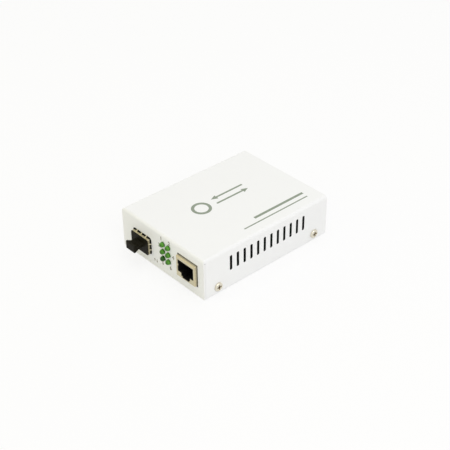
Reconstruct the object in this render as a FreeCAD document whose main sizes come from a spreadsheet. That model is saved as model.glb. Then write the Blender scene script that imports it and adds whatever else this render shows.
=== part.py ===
"""A fibre media converter: a small folded-steel case with a pluggable optical port, a copper
network port, six indicator lamps and a DC inlet.

The origin is the middle of the case's underside. +Z is up, -Y is the front with the ports, and +X is
the right-hand side seen from the front. All lengths are millimetres.
"""

import FreeCAD, Part
import os
import Sketcher
from FreeCAD import Rotation, Vector

# The driving dimensions. Every sketch, feature and placement below is bound to these cells.
SIZES = {
    # Case: a lid (top, front and sides in one folded sheet) over a pan (floor and rear panel).
    "case_width": 71.0,
    "case_depth": 94.0,
    "case_height": 26.0,
    "sheet": 1.0,
    "lid_bend_inside": 1.0,
    "lid_lift": 0.3,
    "corner_seam": 0.1,
    "corner_relief": 0.3,
    "pan_bend_inside": 0.5,
    "pan_gap": 0.1,
    "pan_setback": 0.5,
    "flange_height": 8.0,
    "flange_end_gap": 1.5,
    # Vent slots, centred on the depth of each side.
    "vent_count": 12,
    "vent_pitch": 5.04,
    "vent_width": 1.8,
    "vent_shoulder": 0.45,
    "vent_length": 9.6,
    "vent_middle": 16.0,
    "vent_shift": 0.25,
    # Pan-head screws, the same for the case and the board.
    "screw_diameter": 3.0,
    "screw_length": 4.0,
    "screw_head_diameter": 5.3,
    "screw_head_height": 1.15,
    "screw_head_taper": 0.8,
    "screw_hole_gap": 0.2,
    "thread_gap": 0.05,
    "recess_span": 3.0,
    "recess_width": 0.8,
    "recess_depth": 1.0,
    "side_screw_spacing": 74.0,
    "side_screw_height": 4.5,
    # Circuit board on four clinched standoffs.
    "standoff_length": 4.2,
    "standoff_diameter": 5.5,
    "spigot_flats": 4.2,
    "board_thickness": 1.6,
    "board_end_gap": 0.5,
    "board_side_gap": 2.5,
    "board_corner": 1.0,
    "board_notch_gap": 0.3,
    "standoff_side_inset": 3.0,
    "standoff_front_inset": 25.5,
    "standoff_rear_inset": 7.0,
    # Pluggable optical port: cage, spring collar, host connector and dust plug.
    "sfp_side_inset": 18.0,
    "cage_width": 14.0,
    "cage_height": 9.8,
    "cage_length": 48.7,
    "cage_wall": 0.25,
    "cage_corner": 0.6,
    "cage_proud": 1.75,
    "collar_wall": 0.2,
    "collar_setback": 0.45,
    "collar_length": 5.8,
    "finger_rise": 0.95,
    "finger_gap": 0.05,
    "finger_width": 0.7,
    "finger_strip": 0.22,
    "top_finger_pitch": 4.1,
    "side_finger_pitch": 3.85,
    "side_finger_lift": 0.3,
    "sfp_cutout_corner": 1.75,
    "sfp_sill": 0.35,
    "host_width": 12.2,
    "host_height": 5.6,
    "host_length": 9.2,
    "host_gap": 0.6,
    "host_slot_width": 10.4,
    "host_slot_height": 1.2,
    "host_slot_depth": 6.0,
    "host_slot_middle": 3.6,
    "plug_play": 0.2,
    "plug_length": 12.0,
    "plug_wall": 1.2,
    "plug_floor": 1.6,
    "plug_corner": 0.7,
    "plug_seat_gap": 0.05,
    "plug_flange_width": 15.0,
    "plug_flange_height": 10.3,
    "plug_flange_thickness": 0.5,
    "plug_flange_corner": 1.0,
    "grip_width": 7.6,
    "grip_web": 2.0,
    "grip_web_length": 3.0,
    "grip_end_height": 5.0,
    "grip_end_thickness": 1.0,
    "grip_length": 6.7,
    "grip_rise": 0.4,
    "grip_round": 2.0,
    "grip_edge": 0.4,
    # Copper network port: metal shell, moulded housing and eight spring contacts.
    "jack_side_inset": 13.7,
    "jack_width": 15.9,
    "jack_height": 13.2,
    "jack_depth": 21.3,
    "jack_wall": 0.3,
    "jack_corner": 0.6,
    "jack_proud": 1.5,
    "jack_side_gap": 0.45,
    "jack_top_gap": 0.75,
    "jack_cutout_shift": 0.3,
    "jack_sill": 0.5,
    "mouth_width": 13.1,
    "mouth_floor": 3.2,
    "mouth_ceiling": 11.1,
    "latch_width": 7.4,
    "latch_floor": 1.2,
    "tab_width": 5.4,
    "tab_floor": 0.3,
    "side_tab_reach": 0.5,
    "side_tab_height": 1.2,
    "side_tab_middle": 7.4,
    "housing_gap": 0.1,
    "socket_width": 11.9,
    "socket_depth": 13.0,
    "socket_inset": 0.35,
    "contact_count": 8,
    "contact_pitch": 1.02,
    "contact_width": 0.45,
    "contact_strip": 0.3,
    "contact_length": 10.0,
    "contact_start": 1.6,
    "contact_reach": 7.0,
    "contact_drop": 2.0,
    # Indicator lamps in a stacked holder.
    "lamp_shift": 3.65,
    "lamp_pitch": 4.7,
    "lamp_middle": 14.8,
    "lamp_rows": 3,
    "lamp_columns": 2,
    "lamp_diameter": 3.0,
    "lamp_dome_rings": 3,
    "lamp_proud": 2.3,
    "lamp_length": 7.0,
    "lamp_rim_diameter": 3.8,
    "lamp_rim_length": 1.0,
    "lamp_gap": 0.15,
    "holder_margin": 2.35,
    "holder_depth": 8.0,
    "lead_width": 0.5,
    "lead_spacing": 1.27,
    "lead_reach": 4.9,
    "lead_step": 2.54,
    # DC inlet at the rear.
    "inlet_side_inset": 15.5,
    "inlet_width": 9.0,
    "inlet_height": 11.0,
    "inlet_length": 14.4,
    "inlet_cutout_gap": 0.3,
    "inlet_axis_height": 6.5,
    "inlet_bore": 6.3,
    "inlet_bore_depth": 9.5,
    "inlet_pin": 2.0,
    "inlet_pin_recess": 1.0,
    "inlet_pin_root": 3.0,
    "inlet_pin_root_width": 3.0,
    "inlet_pin_step": 0.5,
    "inlet_tip": 0.5,
    "inlet_spring_width": 2.4,
    "inlet_spring_strip": 0.4,
    "inlet_spring_rise": 0.9,
    "inlet_spring_slot": 1.0,
    # Parts soldered to the board, placed from the board's middle.
    "transformer_width": 15.0,
    "transformer_depth": 12.0,
    "transformer_height": 5.8,
    "transformer_setback": 11.5,
    "chip_span": 14.0,
    "chip_height": 1.4,
    "chip_side": 2.0,
    "chip_rear": 2.0,
    "crystal_width": 11.4,
    "crystal_depth": 4.8,
    "crystal_height": 3.5,
    "crystal_side": 2.0,
    "crystal_rear": 16.0,
    "capacitor_diameter": 6.3,
    "capacitor_height": 11.2,
    "capacitor_side": 2.0,
    "capacitor_rear": 36.0,
    "capacitor_pitch": 9.0,
    "inductor_span": 7.0,
    "inductor_height": 4.0,
    "inductor_side": -6.0,
    "inductor_rear": 26.0,
    "regulator_width": 6.6,
    "regulator_depth": 6.1,
    "regulator_height": 2.3,
    "regulator_side": 8.0,
    "regulator_rear": 26.0,
    "component_round": 0.5,
}

# Places that several pieces share, as expressions of the driving dimensions.
HALF_WIDTH = "sizes.case_width / 2"
FRONT = "(-sizes.case_depth / 2)"
REAR = "sizes.case_depth / 2"
TOP = "sizes.case_height"
LID_BEND = "(sizes.lid_bend_inside + sizes.sheet)"
PAN_BEND = "(sizes.pan_bend_inside + sizes.sheet)"
PAN_HALF = f"({HALF_WIDTH} - sizes.sheet)"
PAN_FRONT = f"({FRONT} + sizes.sheet)"
PAN_REAR = f"({REAR} - sizes.pan_setback)"
FLANGE_INNER = f"({PAN_HALF} - sizes.sheet)"
BOARD_HALF = f"({FLANGE_INNER} - sizes.board_side_gap)"
BOARD_FRONT = f"({PAN_FRONT} + sizes.board_end_gap)"
BOARD_REAR = f"({PAN_REAR} - sizes.sheet - sizes.board_end_gap)"
BOARD_BOTTOM = "(sizes.sheet + sizes.standoff_length)"
BOARD_TOP = f"({BOARD_BOTTOM} + sizes.board_thickness)"
STANDOFF_SIDE = f"({BOARD_HALF} - sizes.standoff_side_inset)"
STANDOFF_FRONT = f"({BOARD_FRONT} + sizes.standoff_front_inset)"
STANDOFF_REAR = f"({BOARD_REAR} - sizes.standoff_rear_inset)"
THREAD_RADIUS = "(sizes.screw_diameter / 2 + sizes.thread_gap)"
HOLE_RADIUS = "(sizes.screw_diameter / 2 + sizes.screw_hole_gap)"
SIDE_SCREW = "sizes.side_screw_spacing / 2"
SFP_X = f"(sizes.sfp_side_inset - {HALF_WIDTH})"
SFP_Y = f"({FRONT} - sizes.cage_proud)"
SFP_Z = f"({BOARD_TOP} + sizes.cage_height / 2)"
COLLAR_Y = f"({SFP_Y} + sizes.collar_setback)"
COLLAR_HALF_WIDTH = "(sizes.cage_width / 2 + sizes.collar_wall)"
COLLAR_HALF_HEIGHT = "(sizes.cage_height / 2 + sizes.collar_wall)"
FINGER_REACH = "(sizes.finger_rise + sizes.finger_gap)"
JACK_X = f"({HALF_WIDTH} - sizes.jack_side_inset)"
JACK_Y = f"({FRONT} - sizes.jack_proud)"
INLET_X = f"(sizes.inlet_side_inset - {HALF_WIDTH})"
INLET_Z = f"({BOARD_TOP} + sizes.inlet_axis_height)"
AXIS = "sizes.inlet_axis_height"
SPRING_FLOOR = f"({AXIS} - sizes.inlet_bore / 2 - sizes.inlet_spring_slot)"
LAMP_BACK = f"({FRONT} - sizes.lamp_proud + sizes.lamp_length)"

doc = FreeCAD.newDocument("media_converter")
sheet = doc.addObject("Spreadsheet::Sheet", "sizes")
for row, (alias, number) in enumerate(SIZES.items(), start=1):
    sheet.set(f"A{row}", alias)
    sheet.set(f"B{row}", str(number))
    sheet.setAlias(f"B{row}", alias)
doc.recompute()

# A sketch on the XZ plane faces -Y, the other two origin planes face along their positive axis.
FACES_FORWARD = {"XY_Plane": True, "YZ_Plane": True, "XZ_Plane": False}


def value(expression):
    """The present value of an expression of the driving dimensions."""
    return float(sheet.evalExpression(str(expression)))


def start_body(label, across="0", along="0", up="0"):
    """A body whose origin is placed in the case's frame by three expressions."""
    body = doc.addObject("PartDesign::Body", label)
    body.Label = label
    for axis, expression in zip("xyz", (across, along, up)):
        body.setExpression(f"Placement.Base.{axis}", expression)
    return body


def origin_feature(body, role):
    """One of the body's own origin planes or axes."""
    return next(each for each in body.Origin.OriginFeatures if each.Role == role)


def start_sketch(body, plane, name, at="0"):
    """A sketch on an origin plane of the body, moved along the plane's axis to a coordinate."""
    sketch = body.newObject("Sketcher::SketchObject", f"{body.Name}_{name}")
    sketch.AttachmentSupport = [(origin_feature(body, plane), "")]
    sketch.MapMode = "FlatFace"
    sign = "" if FACES_FORWARD[plane] else "-"
    sketch.setExpression("AttachmentOffset.Base.z", f"{sign}({at})")
    return sketch


def hold(sketch, geometry, point, across, up):
    """Holds one point of a sketch's geometry at two expressions."""
    for kind, expression in (("DistanceX", across), ("DistanceY", up)):
        held = Sketcher.Constraint(kind, -1, 1, geometry, point, value(expression))
        index = sketch.addConstraint(held)
        sketch.setExpression(f"Constraints[{index}]", expression)


def outline(sketch, points):
    """A closed polygon through points that are pairs of expressions."""
    first = sketch.GeometryCount
    corners = [Vector(value(across), value(up), 0) for across, up in points]
    ends = corners[1:] + corners[:1]
    sketch.addGeometry([Part.LineSegment(a, b) for a, b in zip(corners, ends)], False)
    for index, (across, up) in enumerate(points):
        following = first + (index + 1) % len(points)
        sketch.addConstraint(Sketcher.Constraint("Coincident", first + index, 2, following, 1))
        hold(sketch, first + index, 1, across, up)
    return sketch


def rectangle(sketch, left, right, bottom, top):
    """A rectangle whose sides lie at four expressions."""
    return outline(sketch, [(left, bottom), (right, bottom), (right, top), (left, top)])


def circle(sketch, across, up, radius):
    """A circle with its centre and radius at expressions."""
    centre = Vector(value(across), value(up), 0)
    index = sketch.addGeometry(Part.Circle(centre, Vector(0, 0, 1), value(radius)), False)
    round_size = sketch.addConstraint(Sketcher.Constraint("Radius", index, value(radius)))
    sketch.setExpression(f"Constraints[{round_size}]", radius)
    hold(sketch, index, 3, across, up)
    return sketch


def hexagon(sketch, across, up, flat):
    """A regular hexagon about a centre, from the distance between the centre and a flat."""
    corner = f"{flat} / cos(30 deg)"
    return outline(
        sketch,
        [
            (f"{across} - {corner}", up),
            (f"{across} - {corner} / 2", f"{up} - {flat}"),
            (f"{across} + {corner} / 2", f"{up} - {flat}"),
            (f"{across} + {corner}", up),
            (f"{across} + {corner} / 2", f"{up} + {flat}"),
            (f"{across} - {corner} / 2", f"{up} + {flat}"),
        ],
    )


def extrude(body, kind, sketch, length):
    """Adds (Pad) or removes (Pocket) the sketch's area along its plane's positive axis."""
    feature = body.newObject(f"PartDesign::{kind}", f"{sketch.Name}_{kind.lower()}")
    feature.Profile = sketch
    feature.setExpression("Length", length)
    plane = sketch.AttachmentSupport[0][0].Role
    feature.Reversed = FACES_FORWARD[plane] if kind == "Pocket" else not FACES_FORWARD[plane]
    return feature


def pad(body, sketch, length):
    """Adds the sketch's area along its plane's positive axis."""
    feature = extrude(body, "Pad", sketch, length)
    doc.recompute()
    return feature


def pocket(body, sketch, length):
    """Removes the sketch's area along its plane's positive axis, and makes sure that it does."""
    before = body.Shape.Volume
    feature = extrude(body, "Pocket", sketch, length)
    doc.recompute()
    if body.Shape.Volume > before - 1e-4:
        raise ValueError(f"{feature.Name} removes nothing")
    return feature


def block(body, name, x, y, z):
    """Adds a block between pairs of expressions along each axis."""
    sketch = rectangle(start_sketch(body, "XY_Plane", name, z[0]), *x, *y)
    return pad(body, sketch, f"({z[1]}) - ({z[0]})")


def close(number, expression):
    """Whether a number equals an expression's value."""
    return abs(number - value(expression)) < 1e-3


def edges_along(axis, **at):
    """A test for straight edges parallel to an axis, at the given coordinates."""

    def test(edge):
        if edge.Curve.TypeId != "Part::GeomLine":
            return False
        direction = edge.tangentAt(edge.FirstParameter)
        middle = edge.CenterOfMass
        return abs(getattr(direction, axis)) > 0.999 and all(
            close(getattr(middle, name), expression) for name, expression in at.items()
        )

    return test


def dress(body, kind, size, *tests):
    """Rounds or chamfers the edges of the body so far that pass any of the tests."""
    base = body.Tip
    names = [
        f"Edge{index}"
        for index, edge in enumerate(base.Shape.Edges, start=1)
        if any(test(edge) for test in tests)
    ]
    if not names:
        raise ValueError(f"{body.Name} has no such edge to dress")
    feature = body.newObject(f"PartDesign::{kind}", f"{base.Name}_{kind.lower()}")
    feature.Base = (base, names)
    feature.setExpression("Radius" if kind == "Fillet" else "Size", size)
    doc.recompute()
    return feature


def fillet(body, radius, *tests):
    """Rounds the edges of the body so far that pass any of the tests."""
    return dress(body, "Fillet", radius, *tests)


def hollow(body, wall, *tests):
    """Shells the body inwards to a wall, open at the faces that pass any of the tests."""
    base = body.Tip
    names = [
        f"Face{index}"
        for index, face in enumerate(base.Shape.Faces, start=1)
        if any(test(face.CenterOfMass) for test in tests)
    ]
    feature = body.newObject("PartDesign::Thickness", f"{base.Name}_hollow")
    feature.Base = (base, names)
    feature.setExpression("Value", wall)
    feature.Reversed = True
    doc.recompute()
    return feature


def pattern(body, feature, axis, spacing, count):
    """Repeats a feature along one of the body's axes, a count of times at a spacing."""
    repeat = body.newObject("PartDesign::LinearPattern", f"{feature.Name}_row")
    repeat.Originals = [feature]
    repeat.Direction = (origin_feature(body, axis), [""])
    repeat.setExpression("Length", f"({spacing}) * ({count} - 1)")
    repeat.setExpression("Occurrences", count)
    body.Tip = repeat
    doc.recompute()
    return repeat


def mirror(body, features, plane):
    """Repeats features on the other side of one of the body's planes."""
    repeat = body.newObject("PartDesign::Mirrored", f"{features[0].Name}_mirror")
    repeat.Originals = features
    repeat.MirrorPlane = (origin_feature(body, plane), [""])
    body.Tip = repeat
    doc.recompute()
    return repeat


def revolve(body, sketch):
    """A full turn of the sketch about its own vertical axis."""
    feature = body.newObject("PartDesign::Revolution", f"{sketch.Name}_turn")
    feature.Profile = sketch
    feature.ReferenceAxis = (sketch, ["V_Axis"])
    feature.Angle = 360
    doc.recompute()
    return feature


def mixed_group(label, pairs):
    """One sub-part made of copies, each an original and its (x, y, z, rotation)."""
    copies = []
    for number, (original, (across, along, up, rotation)) in enumerate(pairs, start=1):
        copy = doc.addObject("App::Link", f"{label}_{number}")
        copy.LinkedObject = original
        copy.LinkPlacement = FreeCAD.Placement(Vector(), rotation)
        for axis, expression in zip("xyz", (across, along, up)):
            copy.setExpression(f"LinkPlacement.Base.{axis}", expression)
        copies.append(copy)
    compound = doc.addObject("Part::Compound", label)
    compound.Label = label
    compound.Links = copies
    doc.recompute()
    return compound


def group(label, original, places):
    """One sub-part made of copies of an original at several places."""
    return mixed_group(label, [(original, place) for place in places])


def top_cover():
    """The lid: top, front and side flanges folded from one sheet."""
    body = start_body("top_cover")
    block(body, "envelope", (f"-{HALF_WIDTH}", HALF_WIDTH), (FRONT, REAR), ("sizes.lid_lift", TOP))
    fillet(
        body,
        LID_BEND,
        edges_along("y", x=HALF_WIDTH, z=TOP),
        edges_along("y", x=f"-{HALF_WIDTH}", z=TOP),
        edges_along("x", y=FRONT, z=TOP),
    )
    hollow(
        body,
        "sizes.sheet",
        lambda centre: close(centre.z, "sizes.lid_lift"),
        lambda centre: close(centre.y, REAR),
    )
    cut_ports(body)
    cut_vents(body)
    cut_side_holes(body)
    cut_corner_seams(body)
    return body


def lamp_places():
    """The (x, z) places of the lamps' axes, row by row from the bottom left."""
    first_column = "sizes.lamp_shift - sizes.lamp_pitch * (sizes.lamp_columns - 1) / 2"
    first_row = "sizes.lamp_middle - sizes.lamp_pitch * (sizes.lamp_rows - 1) / 2"
    return [
        (f"({first_column} + {column} * sizes.lamp_pitch)", f"({first_row} + {row} * sizes.lamp_pitch)")
        for row in range(SIZES["lamp_rows"])
        for column in range(SIZES["lamp_columns"])
    ]


def cut_ports(body):
    """The openings in the front flange for the two ports and the lamps."""
    before_front = f"{FRONT} - sizes.sheet"
    through = "3 * sizes.sheet"
    half_width = f"({COLLAR_HALF_WIDTH} + {FINGER_REACH})"
    left, right = f"{SFP_X} - {half_width}", f"{SFP_X} + {half_width}"
    low = f"{BOARD_TOP} - sizes.sfp_sill"
    high = f"{SFP_Z} + {COLLAR_HALF_HEIGHT} + {FINGER_REACH}"
    sfp = rectangle(start_sketch(body, "XZ_Plane", "sfp_cutout", before_front), left, right, low, high)
    pocket(body, sfp, through)
    corners = [edges_along("y", x=x, z=z) for x in (left, right) for z in (low, high)]
    fillet(body, "sizes.sfp_cutout_corner", *corners)

    half_jack = "(sizes.jack_width / 2 + sizes.jack_side_gap)"
    middle = f"({JACK_X} + sizes.jack_cutout_shift)"
    jack = start_sketch(body, "XZ_Plane", "jack_cutout", before_front)
    rectangle(
        jack,
        f"{middle} - {half_jack}",
        f"{middle} + {half_jack}",
        f"{BOARD_TOP} - sizes.jack_sill",
        f"{BOARD_TOP} + sizes.jack_height + sizes.jack_top_gap",
    )
    pocket(body, jack, through)

    lamps = start_sketch(body, "XZ_Plane", "lamp_holes", before_front)
    for across, up in lamp_places():
        circle(lamps, across, up, "sizes.lamp_diameter / 2 + sizes.lamp_gap")
    pocket(body, lamps, through)


def cut_vents(body):
    """A row of upright slots through both side flanges."""
    half = "sizes.vent_width / 2"
    first = "(sizes.vent_shift - sizes.vent_pitch * (sizes.vent_count - 1) / 2)"
    low = "(sizes.vent_middle - sizes.vent_length / 2)"
    high = "(sizes.vent_middle + sizes.vent_length / 2)"
    shoulder = "sizes.vent_shoulder"
    sketch = start_sketch(body, "YZ_Plane", "vent", f"-{HALF_WIDTH} - sizes.sheet")
    outline(
        sketch,
        [
            (f"{first} - {half} + {shoulder}", low),
            (f"{first} + {half} - {shoulder}", low),
            (f"{first} + {half}", f"{low} + {shoulder}"),
            (f"{first} + {half}", f"{high} - {shoulder}"),
            (f"{first} + {half} - {shoulder}", high),
            (f"{first} - {half} + {shoulder}", high),
            (f"{first} - {half}", f"{high} - {shoulder}"),
            (f"{first} - {half}", f"{low} + {shoulder}"),
        ],
    )
    slot = pocket(body, sketch, "sizes.case_width + 2 * sizes.sheet")
    pattern(body, slot, "Y_Axis", "sizes.vent_pitch", "sizes.vent_count")


def cut_side_holes(body):
    """The clearance holes for the screws that hold the lid to the pan's side flanges."""
    sketch = start_sketch(body, "YZ_Plane", "side_holes", f"-{HALF_WIDTH} - sizes.sheet")
    for along in (f"-{SIDE_SCREW}", SIDE_SCREW):
        circle(sketch, along, "sizes.side_screw_height", HOLE_RADIUS)
    pocket(body, sketch, "sizes.case_width + 2 * sizes.sheet")


def cut_corner_seams(body):
    """The seam where each side flange meets the front flange, with its relief hole at the bends."""
    seam = f"{FRONT} + sizes.sheet"
    bend_line = f"{TOP} - {LID_BEND}"
    slit = start_sketch(body, "YZ_Plane", "seam", PAN_HALF)
    rectangle(slit, seam, f"{seam} + sizes.corner_seam", "0", bend_line)
    cut = pocket(body, slit, "2 * sizes.sheet")
    mirror(body, [cut], "YZ_Plane")
    relief = start_sketch(body, "YZ_Plane", "relief", PAN_HALF)
    circle(relief, f"{seam} + sizes.corner_seam / 2", bend_line, "sizes.corner_relief")
    hole = pocket(body, relief, "2 * sizes.sheet")
    mirror(body, [hole], "YZ_Plane")


def base_pan():
    """The pan: floor, low side flanges and rear panel folded from one sheet."""
    body = start_body("base_pan")
    half_floor = f"({PAN_HALF} - {PAN_BEND})"
    flange_front = f"({PAN_FRONT} + sizes.flange_end_gap)"
    flange_rear = f"({PAN_REAR} - sizes.sheet - sizes.flange_end_gap)"
    channel = start_sketch(body, "XZ_Plane", "channel", flange_front)
    outline(
        channel,
        [
            (f"-{PAN_HALF}", "0"),
            (PAN_HALF, "0"),
            (PAN_HALF, "sizes.flange_height"),
            (FLANGE_INNER, "sizes.flange_height"),
            (FLANGE_INNER, "sizes.sheet"),
            (f"-{FLANGE_INNER}", "sizes.sheet"),
            (f"-{FLANGE_INNER}", "sizes.flange_height"),
            (f"-{PAN_HALF}", "sizes.flange_height"),
        ],
    )
    pad(body, channel, f"{flange_rear} - {flange_front}")
    fillet(
        body,
        PAN_BEND,
        edges_along("y", x=PAN_HALF, z="0"),
        edges_along("y", x=f"-{PAN_HALF}", z="0"),
    )
    fillet(
        body,
        "sizes.pan_bend_inside",
        edges_along("y", x=FLANGE_INNER, z="sizes.sheet"),
        edges_along("y", x=f"-{FLANGE_INNER}", z="sizes.sheet"),
    )
    panel_top = f"({TOP} - sizes.sheet - sizes.pan_gap)"
    panel_face = f"({PAN_REAR} - sizes.sheet)"
    floor = start_sketch(body, "YZ_Plane", "floor", f"-{half_floor}")
    outline(
        floor,
        [
            (PAN_FRONT, "0"),
            (PAN_REAR, "0"),
            (PAN_REAR, panel_top),
            (panel_face, panel_top),
            (panel_face, "sizes.sheet"),
            (PAN_FRONT, "sizes.sheet"),
        ],
    )
    pad(body, floor, f"2 * {half_floor}")
    fillet(body, PAN_BEND, edges_along("x", y=PAN_REAR, z="0"))
    fillet(body, "sizes.pan_bend_inside", edges_along("x", y=panel_face, z="sizes.sheet"))
    half_panel = f"({PAN_HALF} - sizes.pan_gap)"
    wings = start_sketch(body, "XZ_Plane", "rear_panel", panel_face)
    rectangle(wings, f"-{half_panel}", half_panel, f"{PAN_BEND} + sizes.pan_bend_inside", panel_top)
    pad(body, wings, "sizes.sheet")
    fillet(
        body,
        "sizes.lid_bend_inside + sizes.pan_gap",
        edges_along("y", x=half_panel, z=panel_top),
        edges_along("y", x=f"-{half_panel}", z=panel_top),
    )
    tapped = start_sketch(body, "YZ_Plane", "tapped_holes", f"-{HALF_WIDTH}")
    for along in (f"-{SIDE_SCREW}", SIDE_SCREW):
        circle(tapped, along, "sizes.side_screw_height", THREAD_RADIUS)
    pocket(body, tapped, "sizes.case_width")
    clinched = start_sketch(body, "XY_Plane", "spigot_holes", "-sizes.sheet")
    for across, along in standoff_places():
        hexagon(clinched, across, along, "(sizes.spigot_flats / 2 + sizes.thread_gap)")
    pocket(body, clinched, "3 * sizes.sheet")
    inlet = start_sketch(body, "XZ_Plane", "inlet_cutout", f"{panel_face} - sizes.sheet")
    half_inlet = "(sizes.inlet_width / 2 + sizes.inlet_cutout_gap)"
    rectangle(
        inlet,
        f"{INLET_X} - {half_inlet}",
        f"{INLET_X} + {half_inlet}",
        f"{BOARD_TOP} - sizes.inlet_cutout_gap",
        f"{BOARD_TOP} + sizes.inlet_height + sizes.inlet_cutout_gap",
    )
    pocket(body, inlet, "3 * sizes.sheet")
    return body


def standoff_places():
    """The four (x, y) places of the board's standoffs and screws."""
    return [
        (across, along)
        for across in (f"-{STANDOFF_SIDE}", STANDOFF_SIDE)
        for along in (STANDOFF_FRONT, STANDOFF_REAR)
    ]


def circuit_board():
    """The printed circuit board, with a hole over each standoff."""
    body = start_body("circuit_board")
    block(
        body,
        "laminate",
        (f"-{BOARD_HALF}", BOARD_HALF),
        (BOARD_FRONT, BOARD_REAR),
        (BOARD_BOTTOM, BOARD_TOP),
    )
    fillet(body, "sizes.board_corner", edges_along("z"))
    notch = start_sketch(body, "XY_Plane", "collar_notch", BOARD_BOTTOM)
    half_notch = f"({COLLAR_HALF_WIDTH} + sizes.board_notch_gap)"
    rectangle(
        notch,
        f"{SFP_X} - {half_notch}",
        f"{SFP_X} + {half_notch}",
        FRONT,
        f"{COLLAR_Y} + sizes.collar_length + sizes.board_notch_gap",
    )
    pocket(body, notch, "sizes.board_thickness")
    holes = start_sketch(body, "XY_Plane", "holes", BOARD_BOTTOM)
    for across, along in standoff_places():
        circle(holes, across, along, HOLE_RADIUS)
    pocket(body, holes, "sizes.board_thickness")
    return body


def standoffs():
    """Four threaded standoffs whose six-sided spigots are clinched through the pan's floor."""
    body = start_body("standoff")
    barrel = circle(start_sketch(body, "XY_Plane", "barrel"), "0", "0", "sizes.standoff_diameter / 2")
    pad(body, barrel, "sizes.standoff_length")
    spigot = start_sketch(body, "XY_Plane", "spigot", "-sizes.sheet")
    pad(body, hexagon(spigot, "0", "0", "(sizes.spigot_flats / 2)"), "sizes.sheet")
    thread = circle(start_sketch(body, "XY_Plane", "thread", "-2 * sizes.sheet"), "0", "0", THREAD_RADIUS)
    pocket(body, thread, "sizes.standoff_length + 3 * sizes.sheet")
    places = [(across, along, "sizes.sheet", Rotation()) for across, along in standoff_places()]
    return group("board_standoffs", body, places)


def screw():
    """A pan-head screw with a cross recess, its head above z = 0 and its shank below."""
    body = start_body("screw")
    profile = start_sketch(body, "XZ_Plane", "profile")
    head = "sizes.screw_head_diameter / 2"
    outline(
        profile,
        [
            ("0", "-sizes.screw_length"),
            ("sizes.screw_diameter / 2", "-sizes.screw_length"),
            ("sizes.screw_diameter / 2", "0"),
            (head, "0"),
            (f"{head} - sizes.screw_head_taper", "sizes.screw_head_height"),
            ("0", "sizes.screw_head_height"),
        ],
    )
    revolve(body, profile)
    recess = start_sketch(body, "XY_Plane", "recess", "sizes.screw_head_height - sizes.recess_depth")
    arm, half = "sizes.recess_span / 2", "sizes.recess_width / 2"
    outline(
        recess,
        [
            (f"-{half}", f"-{arm}"),
            (half, f"-{arm}"),
            (half, f"-{half}"),
            (arm, f"-{half}"),
            (arm, half),
            (half, half),
            (half, arm),
            (f"-{half}", arm),
            (f"-{half}", half),
            (f"-{arm}", half),
            (f"-{arm}", f"-{half}"),
            (f"-{half}", f"-{half}"),
        ],
    )
    pocket(body, recess, "2 * sizes.recess_depth")
    return body


def screws():
    """The four board screws and the four case screws, all of one kind."""
    original = screw()
    on_board = [(across, along, BOARD_TOP, Rotation()) for across, along in standoff_places()]
    on_case = [
        (f"{sign}{HALF_WIDTH}", along, "sizes.side_screw_height", Rotation(Vector(0, 1, 0), turn))
        for sign, turn in (("", 90), ("-", -90))
        for along in (f"-{SIDE_SCREW}", SIDE_SCREW)
    ]
    return [group("board_screws", original, on_board), group("case_screws", original, on_case)]


def sfp_cage():
    """The folded cage of the pluggable port, open at the front and over its host connector."""
    body = start_body("sfp_cage", SFP_X, SFP_Y, SFP_Z)
    half_width, half_height = "sizes.cage_width / 2", "sizes.cage_height / 2"
    block(
        body,
        "envelope",
        (f"-{half_width}", half_width),
        ("0", "sizes.cage_length"),
        (f"-{half_height}", half_height),
    )
    fillet(body, "sizes.cage_corner", edges_along("y"))
    hollow(body, "sizes.cage_wall", lambda centre: close(centre.y, "0"))
    half_host = "(sizes.host_width / 2 + sizes.host_gap / 2)"
    opening = start_sketch(body, "XY_Plane", "host_opening", f"-{half_height} - sizes.cage_wall")
    rectangle(
        opening,
        f"-{half_host}",
        half_host,
        "sizes.cage_length - sizes.cage_wall - 2 * sizes.host_gap - sizes.host_length",
        "sizes.cage_length - sizes.cage_wall",
    )
    pocket(body, opening, "2 * sizes.cage_wall")
    return body


def finger(body, name, plane, start):
    """One spring finger: a strip arched out from the collar towards the edge of the cutout.

    The arch is drawn on a plane through the port's axis and stands on the collar's outer face.
    """
    upright = plane == "YZ_Plane"
    foot = COLLAR_HALF_HEIGHT if upright else COLLAR_HALF_WIDTH
    strip = "sizes.finger_strip"
    crest = f"({foot} + sizes.finger_rise)"
    front = f"(sizes.cage_proud - sizes.collar_setback - {strip})"
    rear = f"({front} + {strip} + sizes.sheet)"
    tail = f"({rear} + 3 * sizes.finger_rise)"
    arch = [
        ("0", foot),
        (front, crest),
        (rear, crest),
        (tail, foot),
        (f"{tail} - 2 * {strip}", foot),
        (f"{rear} - {strip} / 2", f"{crest} - {strip}"),
        (f"{front} + {strip} / 2", f"{crest} - {strip}"),
        (f"2 * {strip}", foot),
    ]
    points = arch if upright else [(out, along) for along, out in arch]
    sketch = outline(start_sketch(body, plane, name, start), points)
    return pad(body, sketch, "sizes.finger_width")


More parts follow.
